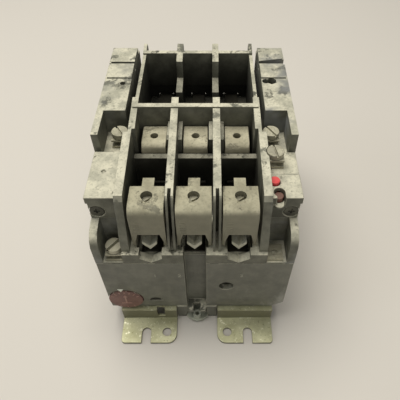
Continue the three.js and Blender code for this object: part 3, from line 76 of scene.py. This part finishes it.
# %% Place the camera
CAMERA_PLACE = (0.0071, -0.1669, 0.235)
TILT_FROM_STRAIGHT_DOWN = 40.2
SENSOR_WIDTH_MM = 36
LENS_MM = 38.34
SIDE_SHIFT = -0.024
NEAREST_SEEN = 0.005
bpy.ops.object.camera_add(
    location=CAMERA_PLACE, rotation=(math.radians(TILT_FROM_STRAIGHT_DOWN), 0, 0))
camera = bpy.context.object
camera.data.sensor_width = SENSOR_WIDTH_MM
camera.data.lens = LENS_MM
camera.data.shift_x = SIDE_SHIFT
camera.data.clip_start = NEAREST_SEEN
bpy.context.scene.camera = camera
print("camera at", tuple(camera.location))

# %% [markdown]
# ## Colours and small node helpers
# Colours are written as a painter would name them, from 0 to 255, and turned into the
# linear values that the shader wants. Each helper adds one node and returns its output,
# so a finish can be read from top to bottom like a recipe.

# %% Turn a painter's colour into a linear one
def tone(red, green, blue):
    channels = [c / 255 for c in (red, green, blue)]
    linear = [c / 12.92 if c < 0.04 else ((c + 0.055) / 1.055) ** 2.4 for c in channels]
    return (*linear, 1.0)


print("dust colour in linear light:", tone(205, 203, 182))


# %% Start a finish with its shader
def start_finish(name, roughness=0.8, metallic=0.0):
    finish = bpy.data.materials.new(name)
    finish.use_nodes = True
    shader = finish.node_tree.nodes["Principled BSDF"]
    shader.inputs["Roughness"].default_value = roughness
    shader.inputs["Metallic"].default_value = metallic
    return finish, finish.node_tree, shader


print("helper ready: start_finish")


# %% Plug a number, a colour or another node's output into a socket
def feed(tree, socket, value):
    if isinstance(value, bpy.types.NodeSocket):
        tree.links.new(value, socket)
    else:
        socket.default_value = value


print("helper ready: feed")


# %% Blotches of noise, in cycles per metre
NOISE_ROUGHNESS = 0.62


def blotches(tree, scale, detail=4.0, seed=0.0, stretch=(1, 1, 1)):
    coordinates = tree.nodes.new("ShaderNodeTexCoord")
    mapping = tree.nodes.new("ShaderNodeMapping")
    mapping.inputs["Scale"].default_value = stretch
    noise = tree.nodes.new("ShaderNodeTexNoise")
    noise.noise_dimensions = "4D"
    noise.inputs["W"].default_value = seed
    noise.inputs["Scale"].default_value = scale
    noise.inputs["Detail"].default_value = detail
    noise.inputs["Roughness"].default_value = NOISE_ROUGHNESS
    tree.links.new(coordinates.outputs["Object"], mapping.inputs["Vector"])
    tree.links.new(mapping.outputs["Vector"], noise.inputs["Vector"])
    return noise.outputs["Fac"]


print("helper ready: blotches, with a roughness of", NOISE_ROUGHNESS)


# %% Sharpen a value into a mask between two levels
def between(tree, value, low, high, lowest=0.0, highest=1.0):
    level = tree.nodes.new("ShaderNodeMapRange")
    level.interpolation_type = "SMOOTHSTEP"
    feed(tree, level.inputs["Value"], value)
    level.inputs["From Min"].default_value = low
    level.inputs["From Max"].default_value = high
    level.inputs["To Min"].default_value = lowest
    level.inputs["To Max"].default_value = highest
    return level.outputs["Result"]


print("helper ready: between")


# %% One arithmetic step
def reckon(tree, operation, first, second=0.0):
    step = tree.nodes.new("ShaderNodeMath")
    step.operation = operation
    feed(tree, step.inputs[0], first)
    feed(tree, step.inputs[1], second)
    return step.outputs["Value"]


print("helper ready: reckon")


# %% Mix two colours by a mask
UNDER_SOCKET, OVER_SOCKET, COLOUR_OUTPUT = 6, 7, 2


def stir(tree, mask, under, over):
    mix = tree.nodes.new("ShaderNodeMix")
    mix.data_type = "RGBA"
    feed(tree, mix.inputs["Factor"], mask)
    feed(tree, mix.inputs[UNDER_SOCKET], under)
    feed(tree, mix.inputs[OVER_SOCKET], over)
    return mix.outputs[COLOUR_OUTPUT]


print("helper ready: stir")


# %% One axis of a point's place or of the way its surface faces
def along(tree, source, axis):
    coordinates = tree.nodes.new("ShaderNodeTexCoord")
    parts = tree.nodes.new("ShaderNodeSeparateXYZ")
    tree.links.new(coordinates.outputs[source], parts.inputs["Vector"])
    return parts.outputs[axis]


print("helper ready: along")


# %% Raise the surface a little where a height value is high
def roughen(tree, shader, height, depth, strength=0.6):
    bump = tree.nodes.new("ShaderNodeBump")
    bump.inputs["Strength"].default_value = strength
    bump.inputs["Distance"].default_value = depth
    feed(tree, bump.inputs["Height"], height)
    tree.links.new(bump.outputs["Normal"], shader.inputs["Normal"])


print("helper ready: roughen")

# %% [markdown]
# ## Dust
# Years in a cabinet leave a pale crust on everything that faces up and a thin film on the
# walls. It could be painted on each piece, but a mask made from the way the surface faces
# puts it in the right place on every solid at once. Coarse blotches break its edge, fine
# grain gives it body, and small chips let the plastic show through. Each scale below says
# how many blotches fit in a metre.

# %% The crust's three colours
DUST_PALE = tone(214, 211, 190)
DUST_GREY = tone(168, 167, 150)
DUST_SHADE = tone(122, 122, 108)
DRIFT_SCALE = 110
SPECK_SCALE = 900


def crust_colour(tree, seed, pale=DUST_PALE, grey=DUST_GREY):
    drift = between(tree, blotches(tree, DRIFT_SCALE, 5, seed + 1.3), 0.36, 0.62)
    specks = between(tree, blotches(tree, SPECK_SCALE, 3, seed + 2.1), 0.50, 0.72, 0, 0.55)
    return stir(tree, specks, stir(tree, drift, grey, pale), DUST_SHADE)


print("the crust drifts between two colours, with darker specks")


# %% Where the crust lies
CHIP_SCALE = 85
CRUMB_SCALE = 520
CRUMB_SHARE = 0.35
COVER_REACH = 0.42


def crust_mask(tree, seed, cover):
    facing_up = between(tree, along(tree, "Normal", "Z"), 0.30, 0.80)
    crumbs = reckon(tree, "MULTIPLY", blotches(tree, CRUMB_SCALE, 4, seed + 3.7), CRUMB_SHARE)
    chips = reckon(tree, "ADD", blotches(tree, CHIP_SCALE, 6, seed), crumbs)
    lying = between(tree, chips, 0.90 - COVER_REACH * cover, 0.98 - COVER_REACH * cover)
    return reckon(tree, "MULTIPLY", facing_up, lying)


print("helper ready: crust_mask")


# %% A whole dusty finish: bare surface, wall film, crust, grain
GROUND_SCALE = 60
VEIL_SCALE = 140
GRAIN_SCALE = 700
CRUST_ROUGHNESS = 0.92


def dusty_finish(name, bare, smear, cover, film, gloss=0.55, metallic=0.0, seed=0.0,
                 pale=DUST_PALE, grey=DUST_GREY, crust_depth=0.0005):
    finish, tree, shader = start_finish(name, gloss, metallic)
    worn = between(tree, blotches(tree, GROUND_SCALE, 4, seed + 5), 0.38, 0.66)
    ground = stir(tree, worn, bare, smear)
    veil = between(tree, blotches(tree, VEIL_SCALE, 6, seed + 6.5), 0.35, 0.75, 0.15 * film, film)
    walls = stir(tree, veil, ground, grey)
    lying = crust_mask(tree, seed, cover)
    colour = stir(tree, lying, walls, crust_colour(tree, seed, pale, grey))
    feed(tree, shader.inputs["Base Color"], colour)
    feed(tree, shader.inputs["Roughness"], between(tree, lying, 0, 1, gloss, CRUST_ROUGHNESS))
    grain = reckon(tree, "MULTIPLY", blotches(tree, GRAIN_SCALE, 4, seed + 8), 0.5)
    roughen(tree, shader, reckon(tree, "ADD", lying, grain), crust_depth)
    return finish


print("dust recipe ready")

# %% [markdown]
# ## The moulded housings
# The terminal housing is olive-grey thermoset. Its ribs are caked on top and its walls are
# filmed, while the outer blocks have been rubbed, so smooth blue-grey patches of plastic
# show there. A second recipe step adds those patches where the block is far enough out.
# A third paints shade, near black, into the pockets behind the lugs and the rear bays.

# %% Terminal housing finish
OLIVE_DARK = tone(70, 71, 60)
OLIVE_WORN = tone(96, 97, 84)
RUBBED_GREY = tone(128, 130, 128)
BLOCK_INNER_EDGE = 0.033
BAY_PAINTED_SHADE = tone(30, 30, 26)
LUG_REAR = -0.036
SHADE_FLOOR, SHADE_TOP = 0.076, 0.100
RUBBED_SCALE = 48


def terminal_housing_finish():
    finish = dusty_finish(
        "terminal_housing_plastic", OLIVE_DARK, OLIVE_WORN, cover=0.86, film=0.34, seed=11)
    tree = finish.node_tree
    shader = tree.nodes["Principled BSDF"]
    crusted = shader.inputs["Base Color"].links[0].from_socket
    outward = reckon(tree, "ABSOLUTE", along(tree, "Object", "X"))
    on_block = between(tree, outward, BLOCK_INNER_EDGE, BLOCK_INNER_EDGE + 0.003)
    bluer = between(tree, along(tree, "Object", "X"), -0.01, 0.02, 0.55, 1.0)
    rubbed = between(tree, blotches(tree, RUBBED_SCALE, 3, 4.0), 0.46, 0.66)
    patch = reckon(tree, "MULTIPLY", reckon(tree, "MULTIPLY", rubbed, on_block), bluer)
    blocks = stir(tree, patch, crusted, RUBBED_GREY)
    # Painted shade: near black in the pockets behind the lugs and the rear bays, darker towards
    # their floors.
    inside = between(tree, outward, BLOCK_INNER_EDGE - 0.001, BLOCK_INNER_EDGE, 1.0, 0.0)
    behind = between(tree, along(tree, "Object", "Y"), LUG_REAR, LUG_REAR + 0.006)
    deep = between(tree, along(tree, "Object", "Z"), SHADE_FLOOR, SHADE_TOP, 0.9, 0.0)
    shade = reckon(tree, "MULTIPLY", reckon(tree, "MULTIPLY", inside, behind), deep)
    feed(tree, shader.inputs["Base Color"], stir(tree, shade, blocks, BAY_PAINTED_SHADE))
    return finish


housing_plastic = terminal_housing_finish()
print("made", housing_plastic.name)

# %% [markdown]
# The base below it was rubbed clean by hands, so it keeps only a veil: faint streaks that run
# down the skirt, and a pale patch low on the right, partly a rubbed smear and partly a painted
# reflection.

# %% Base housing finish
STREAK_SCALE = 260
WIPE_AND_REFLECTION_SCALE = 75
DOWN_THE_SKIRT = (1, 1, 0.06)
ACROSS_THE_CORNER = (1.4, 1, 0.5)


def base_housing_finish():
    finish = dusty_finish(
        "base_housing_plastic", tone(84, 85, 76), tone(98, 99, 89), cover=0.6, film=0.22,
        gloss=0.48, seed=23, crust_depth=0.0002)
    tree = finish.node_tree
    shader = tree.nodes["Principled BSDF"]
    plain = shader.inputs["Base Color"].links[0].from_socket
    runs = blotches(tree, STREAK_SCALE, 3, 2.0, DOWN_THE_SKIRT)
    streaks = between(tree, runs, 0.45, 0.75, 0, 0.35)
    streaked = stir(tree, streaks, plain, tone(118, 118, 106))
    # A pale patch low on the right: partly a rubbed smear and partly a painted reflection.
    low = between(tree, along(tree, "Object", "Z"), 0.022, 0.046, 1.0, 0.0)
    right = between(tree, along(tree, "Object", "X"), 0.014, 0.032)
    wipe_and_reflection_noise = blotches(tree, WIPE_AND_REFLECTION_SCALE, 4, 9.0, ACROSS_THE_CORNER)
    wipe_and_reflection = between(tree, wipe_and_reflection_noise, 0.46, 0.62, 0, 0.6)
    smear = reckon(tree, "MULTIPLY", reckon(tree, "MULTIPLY", low, right), wipe_and_reflection)
    feed(tree, shader.inputs["Base Color"], stir(tree, smear, streaked, tone(160, 160, 152)))
    return finish


base_plastic = base_housing_finish()
print("made", base_plastic.name)

# %% [markdown]
# ## The other finishes
# Most pieces need only the dusty recipe with their own tones: how dark the bare surface
# is, how much crust covers it, and how strong the film on its walls is.

# %% Plastic pieces
cover_plastic = dusty_finish(
    "side_cover_plastic", OLIVE_DARK, OLIVE_WORN, cover=0.93, film=0.25, seed=31,
    grey=tone(176, 175, 158))
lug_plastic = dusty_finish(
    "lug_cover_plastic", tone(112, 110, 94), tone(128, 126, 108), cover=0.80, film=0.30,
    seed=41, pale=tone(184, 180, 155), grey=tone(156, 152, 130))
button_plastic = dusty_finish(
    "trip_button_red", tone(206, 52, 58), tone(226, 84, 84), cover=0.16, film=0.08, gloss=0.35,
    seed=51, pale=tone(232, 150, 145), grey=tone(222, 120, 118))
plunger_plastic = dusty_finish(
    "reset_plunger_brown", tone(92, 56, 46), tone(112, 74, 62), cover=0.35, film=0.15,
    gloss=0.45, seed=53)
inner_plastic = dusty_finish(
    "trip_works_plastic", tone(58, 44, 38), tone(74, 58, 50), cover=0.3, film=0.1, seed=55)
print("plastics ready")

# %% Metal pieces
screw_steel = dusty_finish(
    "terminal_screw_steel", tone(150, 147, 130), tone(172, 169, 150), cover=0.62, film=0.42,
    gloss=0.5, metallic=0.35, seed=61, pale=tone(206, 203, 182), grey=tone(176, 173, 152),
    crust_depth=0.0002)
plate_metal = dusty_finish(
    "contact_plate_metal", tone(172, 168, 146), tone(150, 146, 126), cover=0.55, film=0.3,
    gloss=0.45, metallic=0.4, seed=63, pale=tone(200, 196, 172))
heater_metal = dusty_finish(
    "heater_terminal_metal", tone(120, 117, 100), tone(142, 138, 118), cover=0.95, film=0.75,
    gloss=0.6, metallic=0.1, seed=65, pale=tone(204, 199, 174), grey=tone(178, 173, 149))
# The copper in the bays and behind the lugs is painted near black as shade, under its dust.
bay_copper_dust_and_shade = dusty_finish(
    "bay_copper_dusty_painted_shade", tone(62, 60, 50), tone(48, 46, 40), cover=0.35, film=0.3,
    metallic=0.5, seed=71, pale=tone(84, 82, 70), grey=tone(66, 64, 54))
recess_steel = dusty_finish(
    "cover_screw_steel", tone(84, 84, 76), tone(62, 62, 56), cover=0.25, film=0.2,
    metallic=0.6, seed=73)
latch_steel = dusty_finish(
    "latch_steel", tone(178, 182, 168), tone(164, 168, 154), cover=0.3, film=0.2, metallic=0.4,
    seed=75, crust_depth=0.0001)
clamp_steel = dusty_finish(
    "lug_clamp_steel", tone(168, 168, 152), tone(184, 184, 168), cover=0.6, film=0.35,
    gloss=0.5, metallic=0.3, seed=67)
spring_wire = dusty_finish(
    "spring_wire", tone(150, 150, 146), tone(120, 120, 114), cover=0.2, film=0.1, gloss=0.35,
    metallic=0.9, seed=69)
print("metals ready")

# %% [markdown]
# The feet and the latch are zinc-plated sheet with a yellow passivation. The plating has
# gone blotchy: bright spangles and dull olive freckles; the riser is painted darker as shade.

# %% Zinc-yellow sheet finish
TINT_SCALE = 95
SPANGLE_SCALE = 520
FRECKLE_SCALE = 640
PITTING_SCALE = 800


def zinc_yellow_finish():
    finish, tree, shader = start_finish("zinc_yellow_sheet", 0.42, 0.55)
    tint = between(tree, blotches(tree, TINT_SCALE, 4, 71), 0.38, 0.62)
    ground = stir(tree, tint, tone(186, 186, 150), tone(204, 204, 170))
    spangle = between(tree, blotches(tree, SPANGLE_SCALE, 5, 72), 0.56, 0.64, 0, 0.8)
    freckle = between(tree, blotches(tree, FRECKLE_SCALE, 4, 73), 0.58, 0.66, 0, 0.75)
    spangled = stir(tree, spangle, ground, tone(238, 238, 214))
    speckled = stir(tree, freckle, spangled, tone(140, 138, 100))
    # Painted shade: faces that do not point up, such as the riser, are darkened.
    facing_up = between(tree, along(tree, "Normal", "Z"), 0.2, 0.8)
    colour = stir(tree, facing_up, tone(128, 127, 106), speckled)
    feed(tree, shader.inputs["Base Color"], colour)
    feed(tree, shader.inputs["Roughness"], between(tree, spangle, 0, 0.8, 0.5, 0.34))
    roughen(tree, shader, blotches(tree, PITTING_SCALE, 3, 74), 0.0001, 0.4)
    return finish


zinc_sheet = zinc_yellow_finish()
print("made", zinc_sheet.name)

# %% [markdown]
# The dial is red-brown plastic whose raised marks have been rubbed pink. Its marks are
# separate pieces, made further on, so the dial itself only needs a mottled face.

# %% Dial finish
dial_plastic = dusty_finish(
    "dial_red_brown", tone(88, 56, 50), tone(116, 82, 74), cover=0.5, film=0.35, gloss=0.5,
    seed=81, grey=tone(146, 112, 102))
mark_pink = dusty_finish(
    "dial_mark_rubbed", tone(158, 118, 108), tone(176, 138, 126), cover=0.4, film=0.3, seed=83)
pointer_white = dusty_finish(
    "pointer_white", tone(226, 229, 216), tone(208, 212, 198), cover=0.3, film=0.1, seed=85)
numeral_grey = dusty_finish(
    "numeral_grey", tone(128, 128, 116), tone(146, 146, 132), cover=0.3, film=0.2, seed=87)
print("dial finishes ready")

# %% [markdown]
# ## Worn edges
# Moulded and stamped edges are never sharp: they catch light in a thin line and dust gathers
# on them. A bevel on the loaded solids isn't allowed, because they are the fixed frame, so
# each is copied, its loose triangles are merged, flat areas are made whole again, and the copy
# is bevelled. On the big mouldings the bevel's own faces take a paler finish: partly dust and
# partly a painted highlight.

# %% Edge finishes
# The paler edge finishes are partly dust and partly a painted highlight.
housing_edge_dust_and_highlight = dusty_finish(
    "housing_worn_edge_and_highlight", tone(118, 118, 104), tone(158, 157, 140), cover=0.8, film=0.5,
    seed=91)
base_edge_dust_and_highlight = dusty_finish(
    "base_worn_edge_and_highlight", tone(112, 112, 101), tone(132, 132, 119), cover=0.7, film=0.3, seed=93)
print("edge finishes ready")


# %% How wide each edge is softened, in metres
EDGE_WIDTH = {
    "terminal_housing": 0.00028, "base_housing": 0.0003, "side_cover": 0.00035,
    "middle_terminal_block": 0.0003, "lug_cover": 0.0005, "heater_terminal": 0.0006,
    "lug_clamp": 0.00025, "lug_screw": 0.0002, "pole_copper": 0.00015,
    "contact_plate": 0.00015, "saddle": 0.0002, "control_screw": 0.0003,
    "zinc_sheet": 0.0002, "foot_screw": 0.0002, "cover_screw": 0.00015,
    "dial": 0.0004, "button": 0.0003,
}
print(len(EDGE_WIDTH), "edge widths")


# %% Select one piece, and nothing else
def pick(piece):
    bpy.ops.object.select_all(action="DESELECT")
    bpy.context.view_layer.objects.active = piece
    piece.select_set(True)


print("helper ready: pick")


# %% A copy with its own mesh
def copy_of(pattern):
    twin = pattern.copy()
    twin.data = pattern.data.copy()
    bpy.context.collection.objects.link(twin)
    return twin


print("helper ready: copy_of")


# %% Copy a solid and soften its edges
MERGE_WITHIN = 2e-6
FLAT_WITHIN = math.radians(0.5)


def soften(node, width, finish, paler_edge_and_highlight=None, sharper_than=32, clamped=False):
    piece = copy_of(frame["nodes"][node])
    piece.name = node + "_finished"
    piece.parent = None
    pick(piece)
    bpy.ops.object.mode_set(mode="EDIT")
    bpy.ops.mesh.select_all(action="SELECT")
    bpy.ops.mesh.remove_doubles(threshold=MERGE_WITHIN)
    bpy.ops.mesh.dissolve_limited(angle_limit=FLAT_WITHIN)
    bpy.ops.object.mode_set(mode="OBJECT")
    piece.data.materials.clear()
    piece.data.materials.append(finish)
    piece.data.materials.append(paler_edge_and_highlight or finish)
    bpy.ops.object.shade_smooth_by_angle(angle=math.radians(sharper_than))
    bevel = piece.modifiers.new("soft_edge", "BEVEL")
    bevel.width = width
    bevel.segments = 2
    bevel.limit_method = "ANGLE"
    bevel.angle_limit = math.radians(sharper_than)
    bevel.use_clamp_overlap = clamped
    bevel.harden_normals = True
    bevel.material = 1
    bpy.ops.object.modifier_apply(modifier="soft_edge")
    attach(piece, body_of[node])
    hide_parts(node)
    return piece


print("helper ready: soften")

# %% Housings and covers
terminal_housing = soften("terminal_housing", EDGE_WIDTH["terminal_housing"],
                          housing_plastic, housing_edge_dust_and_highlight, clamped=True)
soften("base_housing", EDGE_WIDTH["base_housing"], base_plastic, base_edge_dust_and_highlight)
for side in ("left", "right"):
    soften(side + "_side_cover", EDGE_WIDTH["side_cover"], cover_plastic, housing_edge_dust_and_highlight)
soften("middle_terminal_block", EDGE_WIDTH["middle_terminal_block"],
       housing_plastic, housing_edge_dust_and_highlight)
print("terminal housing:", len(terminal_housing.data.polygons), "faces")

# %% Poles: lug covers, heater terminals, clamps, screws and copper
for pole in (1, 2, 3):
    soften(f"lug_cover_{pole}", EDGE_WIDTH["lug_cover"], lug_plastic, clamped=True)
    soften(f"heater_terminal_{pole}", EDGE_WIDTH["heater_terminal"], heater_metal)
    soften(f"lug_clamp_{pole}", EDGE_WIDTH["lug_clamp"], clamp_steel)
    soften(f"lug_screw_{pole}", EDGE_WIDTH["lug_screw"], screw_steel)
    soften(f"load_conductor_{pole}", EDGE_WIDTH["pole_copper"], bay_copper_dust_and_shade)
    soften(f"line_stab_{pole}", EDGE_WIDTH["pole_copper"], bay_copper_dust_and_shade)
print("three poles softened")

# %% Control terminals
TERMINALS = ("left_rear", "right_rear", "right_middle", "left_front", "right_front")
for terminal in TERMINALS:
    soften(terminal + "_contact_plate", EDGE_WIDTH["contact_plate"], plate_metal)
    if terminal != "right_front":
        soften(terminal + "_saddle", EDGE_WIDTH["saddle"], screw_steel)
        soften(terminal + "_screw", EDGE_WIDTH["control_screw"], screw_steel)
print(len(TERMINALS), "terminals softened")

# %% Feet, latch, cover screws, dial and buttons
for side in ("left", "right"):
    soften(side + "_foot", EDGE_WIDTH["zinc_sheet"], zinc_sheet)
    soften(side + "_foot_screw", EDGE_WIDTH["foot_screw"], screw_steel)
    soften(side + "_cover_screw", EDGE_WIDTH["cover_screw"], recess_steel)
soften("rail_latch", EDGE_WIDTH["zinc_sheet"], latch_steel)
soften("adjusting_dial", EDGE_WIDTH["dial"], dial_plastic)
soften("trip_button", EDGE_WIDTH["button"], button_plastic)
soften("reset_plunger", EDGE_WIDTH["button"], plunger_plastic)
print("small pieces softened")

# %% [markdown]
# The pieces sealed inside the housing stay as they were loaded and only change material.

# %% Inner pieces keep their own mesh
inner_finishes = {
    "dial_cam": inner_plastic, "trip_bar": inner_plastic, "trip_lever": inner_plastic,
    "contact_carrier": inner_plastic, "lever_pin": screw_steel, "contact_bridge": plate_metal,
    "left_fixed_contact": plate_metal, "right_fixed_contact": plate_metal,
    "trip_button_spring": spring_wire, "reset_plunger_spring": spring_wire,
    "lug_nut_1": screw_steel, "lug_nut_2": screw_steel, "lug_nut_3": screw_steel,
}
for node, finish in inner_finishes.items():
    frame["nodes"][node].data.materials.clear()
    frame["nodes"][node].data.materials.append(finish)
print(len(inner_finishes), "inner pieces coloured")

# %% [markdown]
# ## Raised marks on the dial
# The dial's face carries a ring of short raised bars and an arrow, moulded with it and
# rubbed pink by thumbs. One bar starts as a cube, has its edges bevelled into a rounded
# pad, and is copied around the dial's axis. The bars ride on the dial and turn with it.

# %% Where the dial's face is
def middle(node):
    low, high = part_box(node)
    return (low + high) / 2


dial_low, dial_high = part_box("adjusting_dial")
dial_axis = Vector((middle("adjusting_dial").x, 0, middle("adjusting_dial").z))
dial_face_y = dial_low.y
dial_radius = (dial_high.x - dial_low.x) / 2
print("dial radius in mm:", round(dial_radius * 1000, 2))


# %% Bake an object's place into its mesh
def settle(piece):
    pick(piece)
    bpy.ops.object.transform_apply(location=True, rotation=True, scale=True)
    return piece


print("helper ready: settle")

# %% Give a new piece its name, finish and body
def enrol(piece, name, finish, body):
    piece.name = name
    piece.data.name = name
    piece.data.materials.clear()
    piece.data.materials.append(finish)
    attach(piece, body)
    return piece


print("helper ready: enrol")

# %% Slope a raised mark's sides
SLOPE_SHARE = 0.35
ROUNDED_BELOW = math.radians(50)


def slope_sides(mark, height):
    slope = mark.modifiers.new("slope", "BEVEL")
    slope.width = height * SLOPE_SHARE
    slope.segments = 2
    bpy.ops.object.modifier_apply(modifier="slope")
    bpy.ops.object.shade_smooth_by_angle(angle=ROUNDED_BELOW)


print("helper ready: slope_sides")


# %% A small raised pad
def raised_pad(size, place):
    bpy.ops.object.select_all(action="DESELECT")
    bpy.ops.mesh.primitive_cube_add(size=1, location=place, scale=size)
    pad = bpy.context.object
    bpy.ops.object.transform_apply(location=False, rotation=False, scale=True)
    slope_sides(pad, min(size))
    return pad


print("helper ready: raised_pad")

# %% The ring of bars, each turned by so many degrees from the top
BAR_SIZE = (0.0006, 0.0003, 0.0016)
BAR_INSET = 0.0016
BAR_RING = dial_radius - BAR_INSET
BAR_PLACE = Vector((dial_axis.x, dial_face_y, dial_axis.z + BAR_RING))
BAR_TURNS = [-60, -40, -20, 0, 20, 40, 60, 150, 180, 210]
bar_pattern = raised_pad(BAR_SIZE, BAR_PLACE)
for count, degrees in enumerate(BAR_TURNS, 1):
    bar = copy_of(bar_pattern)
    turn = math.radians(degrees)
    sideways, upward = BAR_RING * math.sin(turn), BAR_RING * math.cos(turn)
    bar.location = (dial_axis.x + sideways, dial_face_y, dial_axis.z + upward)
    bar.rotation_euler = (0, turn, 0)
    enrol(settle(bar), f"dial_bar_{count}", mark_pink, "dial")
bpy.data.objects.remove(bar_pattern)
print(len(BAR_TURNS), "bars on the dial")

# %% [markdown]
# The arrow is a raised shaft with a three-sided head, above a short cross bar. The head is
# a cylinder of three sides, the simplest triangle that Blender makes, with bevelled edges.

# %% A three-sided slab
def slab_triangle(radius, thickness, place, point_down):
    bpy.ops.object.select_all(action="DESELECT")
    bpy.ops.mesh.primitive_cylinder_add(
        vertices=3, radius=radius, depth=thickness, location=place,
        rotation=(math.radians(90), math.radians(180 if point_down else 0), 0))
    slab = bpy.context.object
    slope_sides(slab, thickness)
    return settle(slab)


print("helper ready: slab_triangle")

# %% The arrow
ARROW_SHAFT = (0.0009, 0.0004, 0.0060)
HEAD_RADIUS, HEAD_THICKNESS, HEAD_RISE = 0.0015, 0.0004, 0.0038
CROSS_BAR, CROSS_BAR_DROP = (0.0058, 0.0003, 0.0008), 0.0034
shaft = settle(raised_pad(ARROW_SHAFT, (dial_axis.x, dial_face_y, dial_axis.z)))
enrol(shaft, "dial_arrow_shaft", mark_pink, "dial")
head_place = (dial_axis.x, dial_face_y, dial_axis.z + HEAD_RISE)
head = slab_triangle(HEAD_RADIUS, HEAD_THICKNESS, head_place, False)
enrol(head, "dial_arrow_head", mark_pink, "dial")
cross_bar_place = (dial_axis.x, dial_face_y, dial_axis.z - CROSS_BAR_DROP)
cross_bar = settle(raised_pad(CROSS_BAR, cross_bar_place))
enrol(cross_bar, "dial_cross_bar", mark_pink, "dial")
print("arrow on the dial")

# %% [markdown]
# A white pointer painted on the skirt says where to read the dial. It is a thin slab that
# stands just proud, so that it can't flicker against the skirt.

# %% The pointer
skirt_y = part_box("base_housing")[0].y
POINTER_X, POINTER_Z = -0.0393, 0.0354
POINTER_RADIUS, POINTER_THICKNESS, POINTER_PROUD = 0.0018, 0.0003, 0.00002
POINTER_PLACE = (POINTER_X, skirt_y - POINTER_PROUD, POINTER_Z)
pointer = slab_triangle(POINTER_RADIUS, POINTER_THICKNESS, POINTER_PLACE, True)
enrol(pointer, "dial_pointer", pointer_white, "relay_body")
print("pointer at", POINTER_PLACE)

# %% [markdown]
# ## Pole numerals
# Each pole has a small moulded numeral under it. Text is turned into a mesh, given a little
# thickness, and laid on the skirt.

# %% Numerals, each with its place from left to right
NUMERALS = {"1": -0.0199, "2": -0.0078, "3": 0.0229}
NUMERAL_HEIGHT = 0.0034
NUMERAL_Z = 0.0489
NUMERAL_SUNK = 0.00004
NUMERAL_THICKENING = 0.00008
for numeral, x in NUMERALS.items():
    bpy.ops.object.select_all(action="DESELECT")
    bpy.ops.object.text_add(
        location=(x, skirt_y + NUMERAL_SUNK, NUMERAL_Z), rotation=(math.radians(90), 0, 0))
    text = bpy.context.object
    text.data.body = numeral
    text.data.size = NUMERAL_HEIGHT
    text.data.align_x = "CENTER"
    text.data.extrude = NUMERAL_THICKENING
    text.data.offset = NUMERAL_THICKENING
    bpy.ops.object.convert(target="MESH")
    mark = settle(bpy.context.object)
    enrol(mark, "pole_numeral_" + numeral, numeral_grey, "relay_body")
print(len(NUMERALS), "numerals")

# %% [markdown]
# ## Moulded ticks on the lug covers
# The front of each lug cover has a short ladder of fine moulded lines near its left edge,
# a strip gauge for the wire. One line is made and copied.

# %% Strip-gauge lines
GAUGE_LINE = (0.0030, 0.0003, 0.00035)
GAUGE_STEP = 0.0018
GAUGE_LINES = 5
GAUGE_INSET = 0.0030
GAUGE_DROP = 0.0080
line_pattern = raised_pad(GAUGE_LINE, (0, 0, 0))
for pole in (1, 2, 3):
    cover_low, cover_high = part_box(f"lug_cover_{pole}")
    for step in range(GAUGE_LINES):
        line = copy_of(line_pattern)
        line_z = cover_high.z - GAUGE_DROP - GAUGE_STEP * step
        line.location = (cover_low.x + GAUGE_INSET, cover_low.y, line_z)
        name = f"gauge_line_{pole}_{step + 1}"
        enrol(settle(line), name, lug_plastic, "relay_body")
bpy.data.objects.remove(line_pattern)
print(3 * GAUGE_LINES, "gauge lines")

# %% [markdown]
# ## Floor and light
# A plain pale floor and three soft panels. The big one hangs above and a little behind,
# so tops glow, the deep bays go dark, and the skirt stays in half light.

# %% Floor
FLOOR_SIZE = 6
FLOOR_GAP = 0.0001
bpy.ops.object.select_all(action="DESELECT")
bpy.ops.mesh.primitive_plane_add(
    size=FLOOR_SIZE, location=(0, 0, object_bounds()[0][2] - FLOOR_GAP))
floor = bpy.context.object
floor.name = "floor"
floor_finish, floor_tree, floor_shader = start_finish("pale_floor", 0.85)
floor_mottle = blotches(floor_tree, 3, 2, 99)
floor_colour = stir(floor_tree, floor_mottle, tone(214, 210, 202), tone(220, 216, 209))
feed(floor_tree, floor_shader.inputs["Base Color"], floor_colour)
floor.data.materials.append(floor_finish)
print("floor at", round(floor.location.z, 4))


# %% Soft panels
def hang_panel(name, place, aim, width, watts, colour):
    bpy.ops.object.light_add(type="AREA", location=place)
    panel = bpy.context.object
    panel.name = name
    panel.data.shape = "SQUARE"
    panel.data.size = width
    panel.data.energy = watts
    panel.data.color = colour[:3]
    direction = Vector(aim) - Vector(place)
    panel.rotation_euler = direction.to_track_quat("-Z", "Y").to_euler()
    return panel


print("helper ready: hang_panel")

# %% Three panels and the room
WIDE_PANEL, NARROW_PANEL = 0.7, 0.6
TOP_WATTS, FRONT_WATTS, LEFT_WATTS = 9.5, 1.5, 1.2
FLOOR_CENTRE, SKIRT_CENTRE = (0, 0, 0), (0, 0, 0.03)
ROOM_LIGHT = 0.2
hang_panel("top_panel", (-0.15, 0.20, 1.0), FLOOR_CENTRE, WIDE_PANEL, TOP_WATTS,
           tone(255, 250, 240))
hang_panel("front_panel", (0.25, -0.9, 0.55), SKIRT_CENTRE, NARROW_PANEL, FRONT_WATTS,
           tone(255, 250, 242))
hang_panel("left_panel", (-0.9, -0.2, 0.6), SKIRT_CENTRE, NARROW_PANEL, LEFT_WATTS,
           tone(245, 248, 255))
world = bpy.data.worlds.new("studio_air")
world.use_nodes = True
air = world.node_tree.nodes["Background"]
air.inputs["Color"].default_value = tone(236, 236, 232)
air.inputs["Strength"].default_value = ROOM_LIGHT
bpy.context.scene.world = world
bpy.context.scene.view_settings.view_transform = "Standard"
print("three panels and the room's own light")
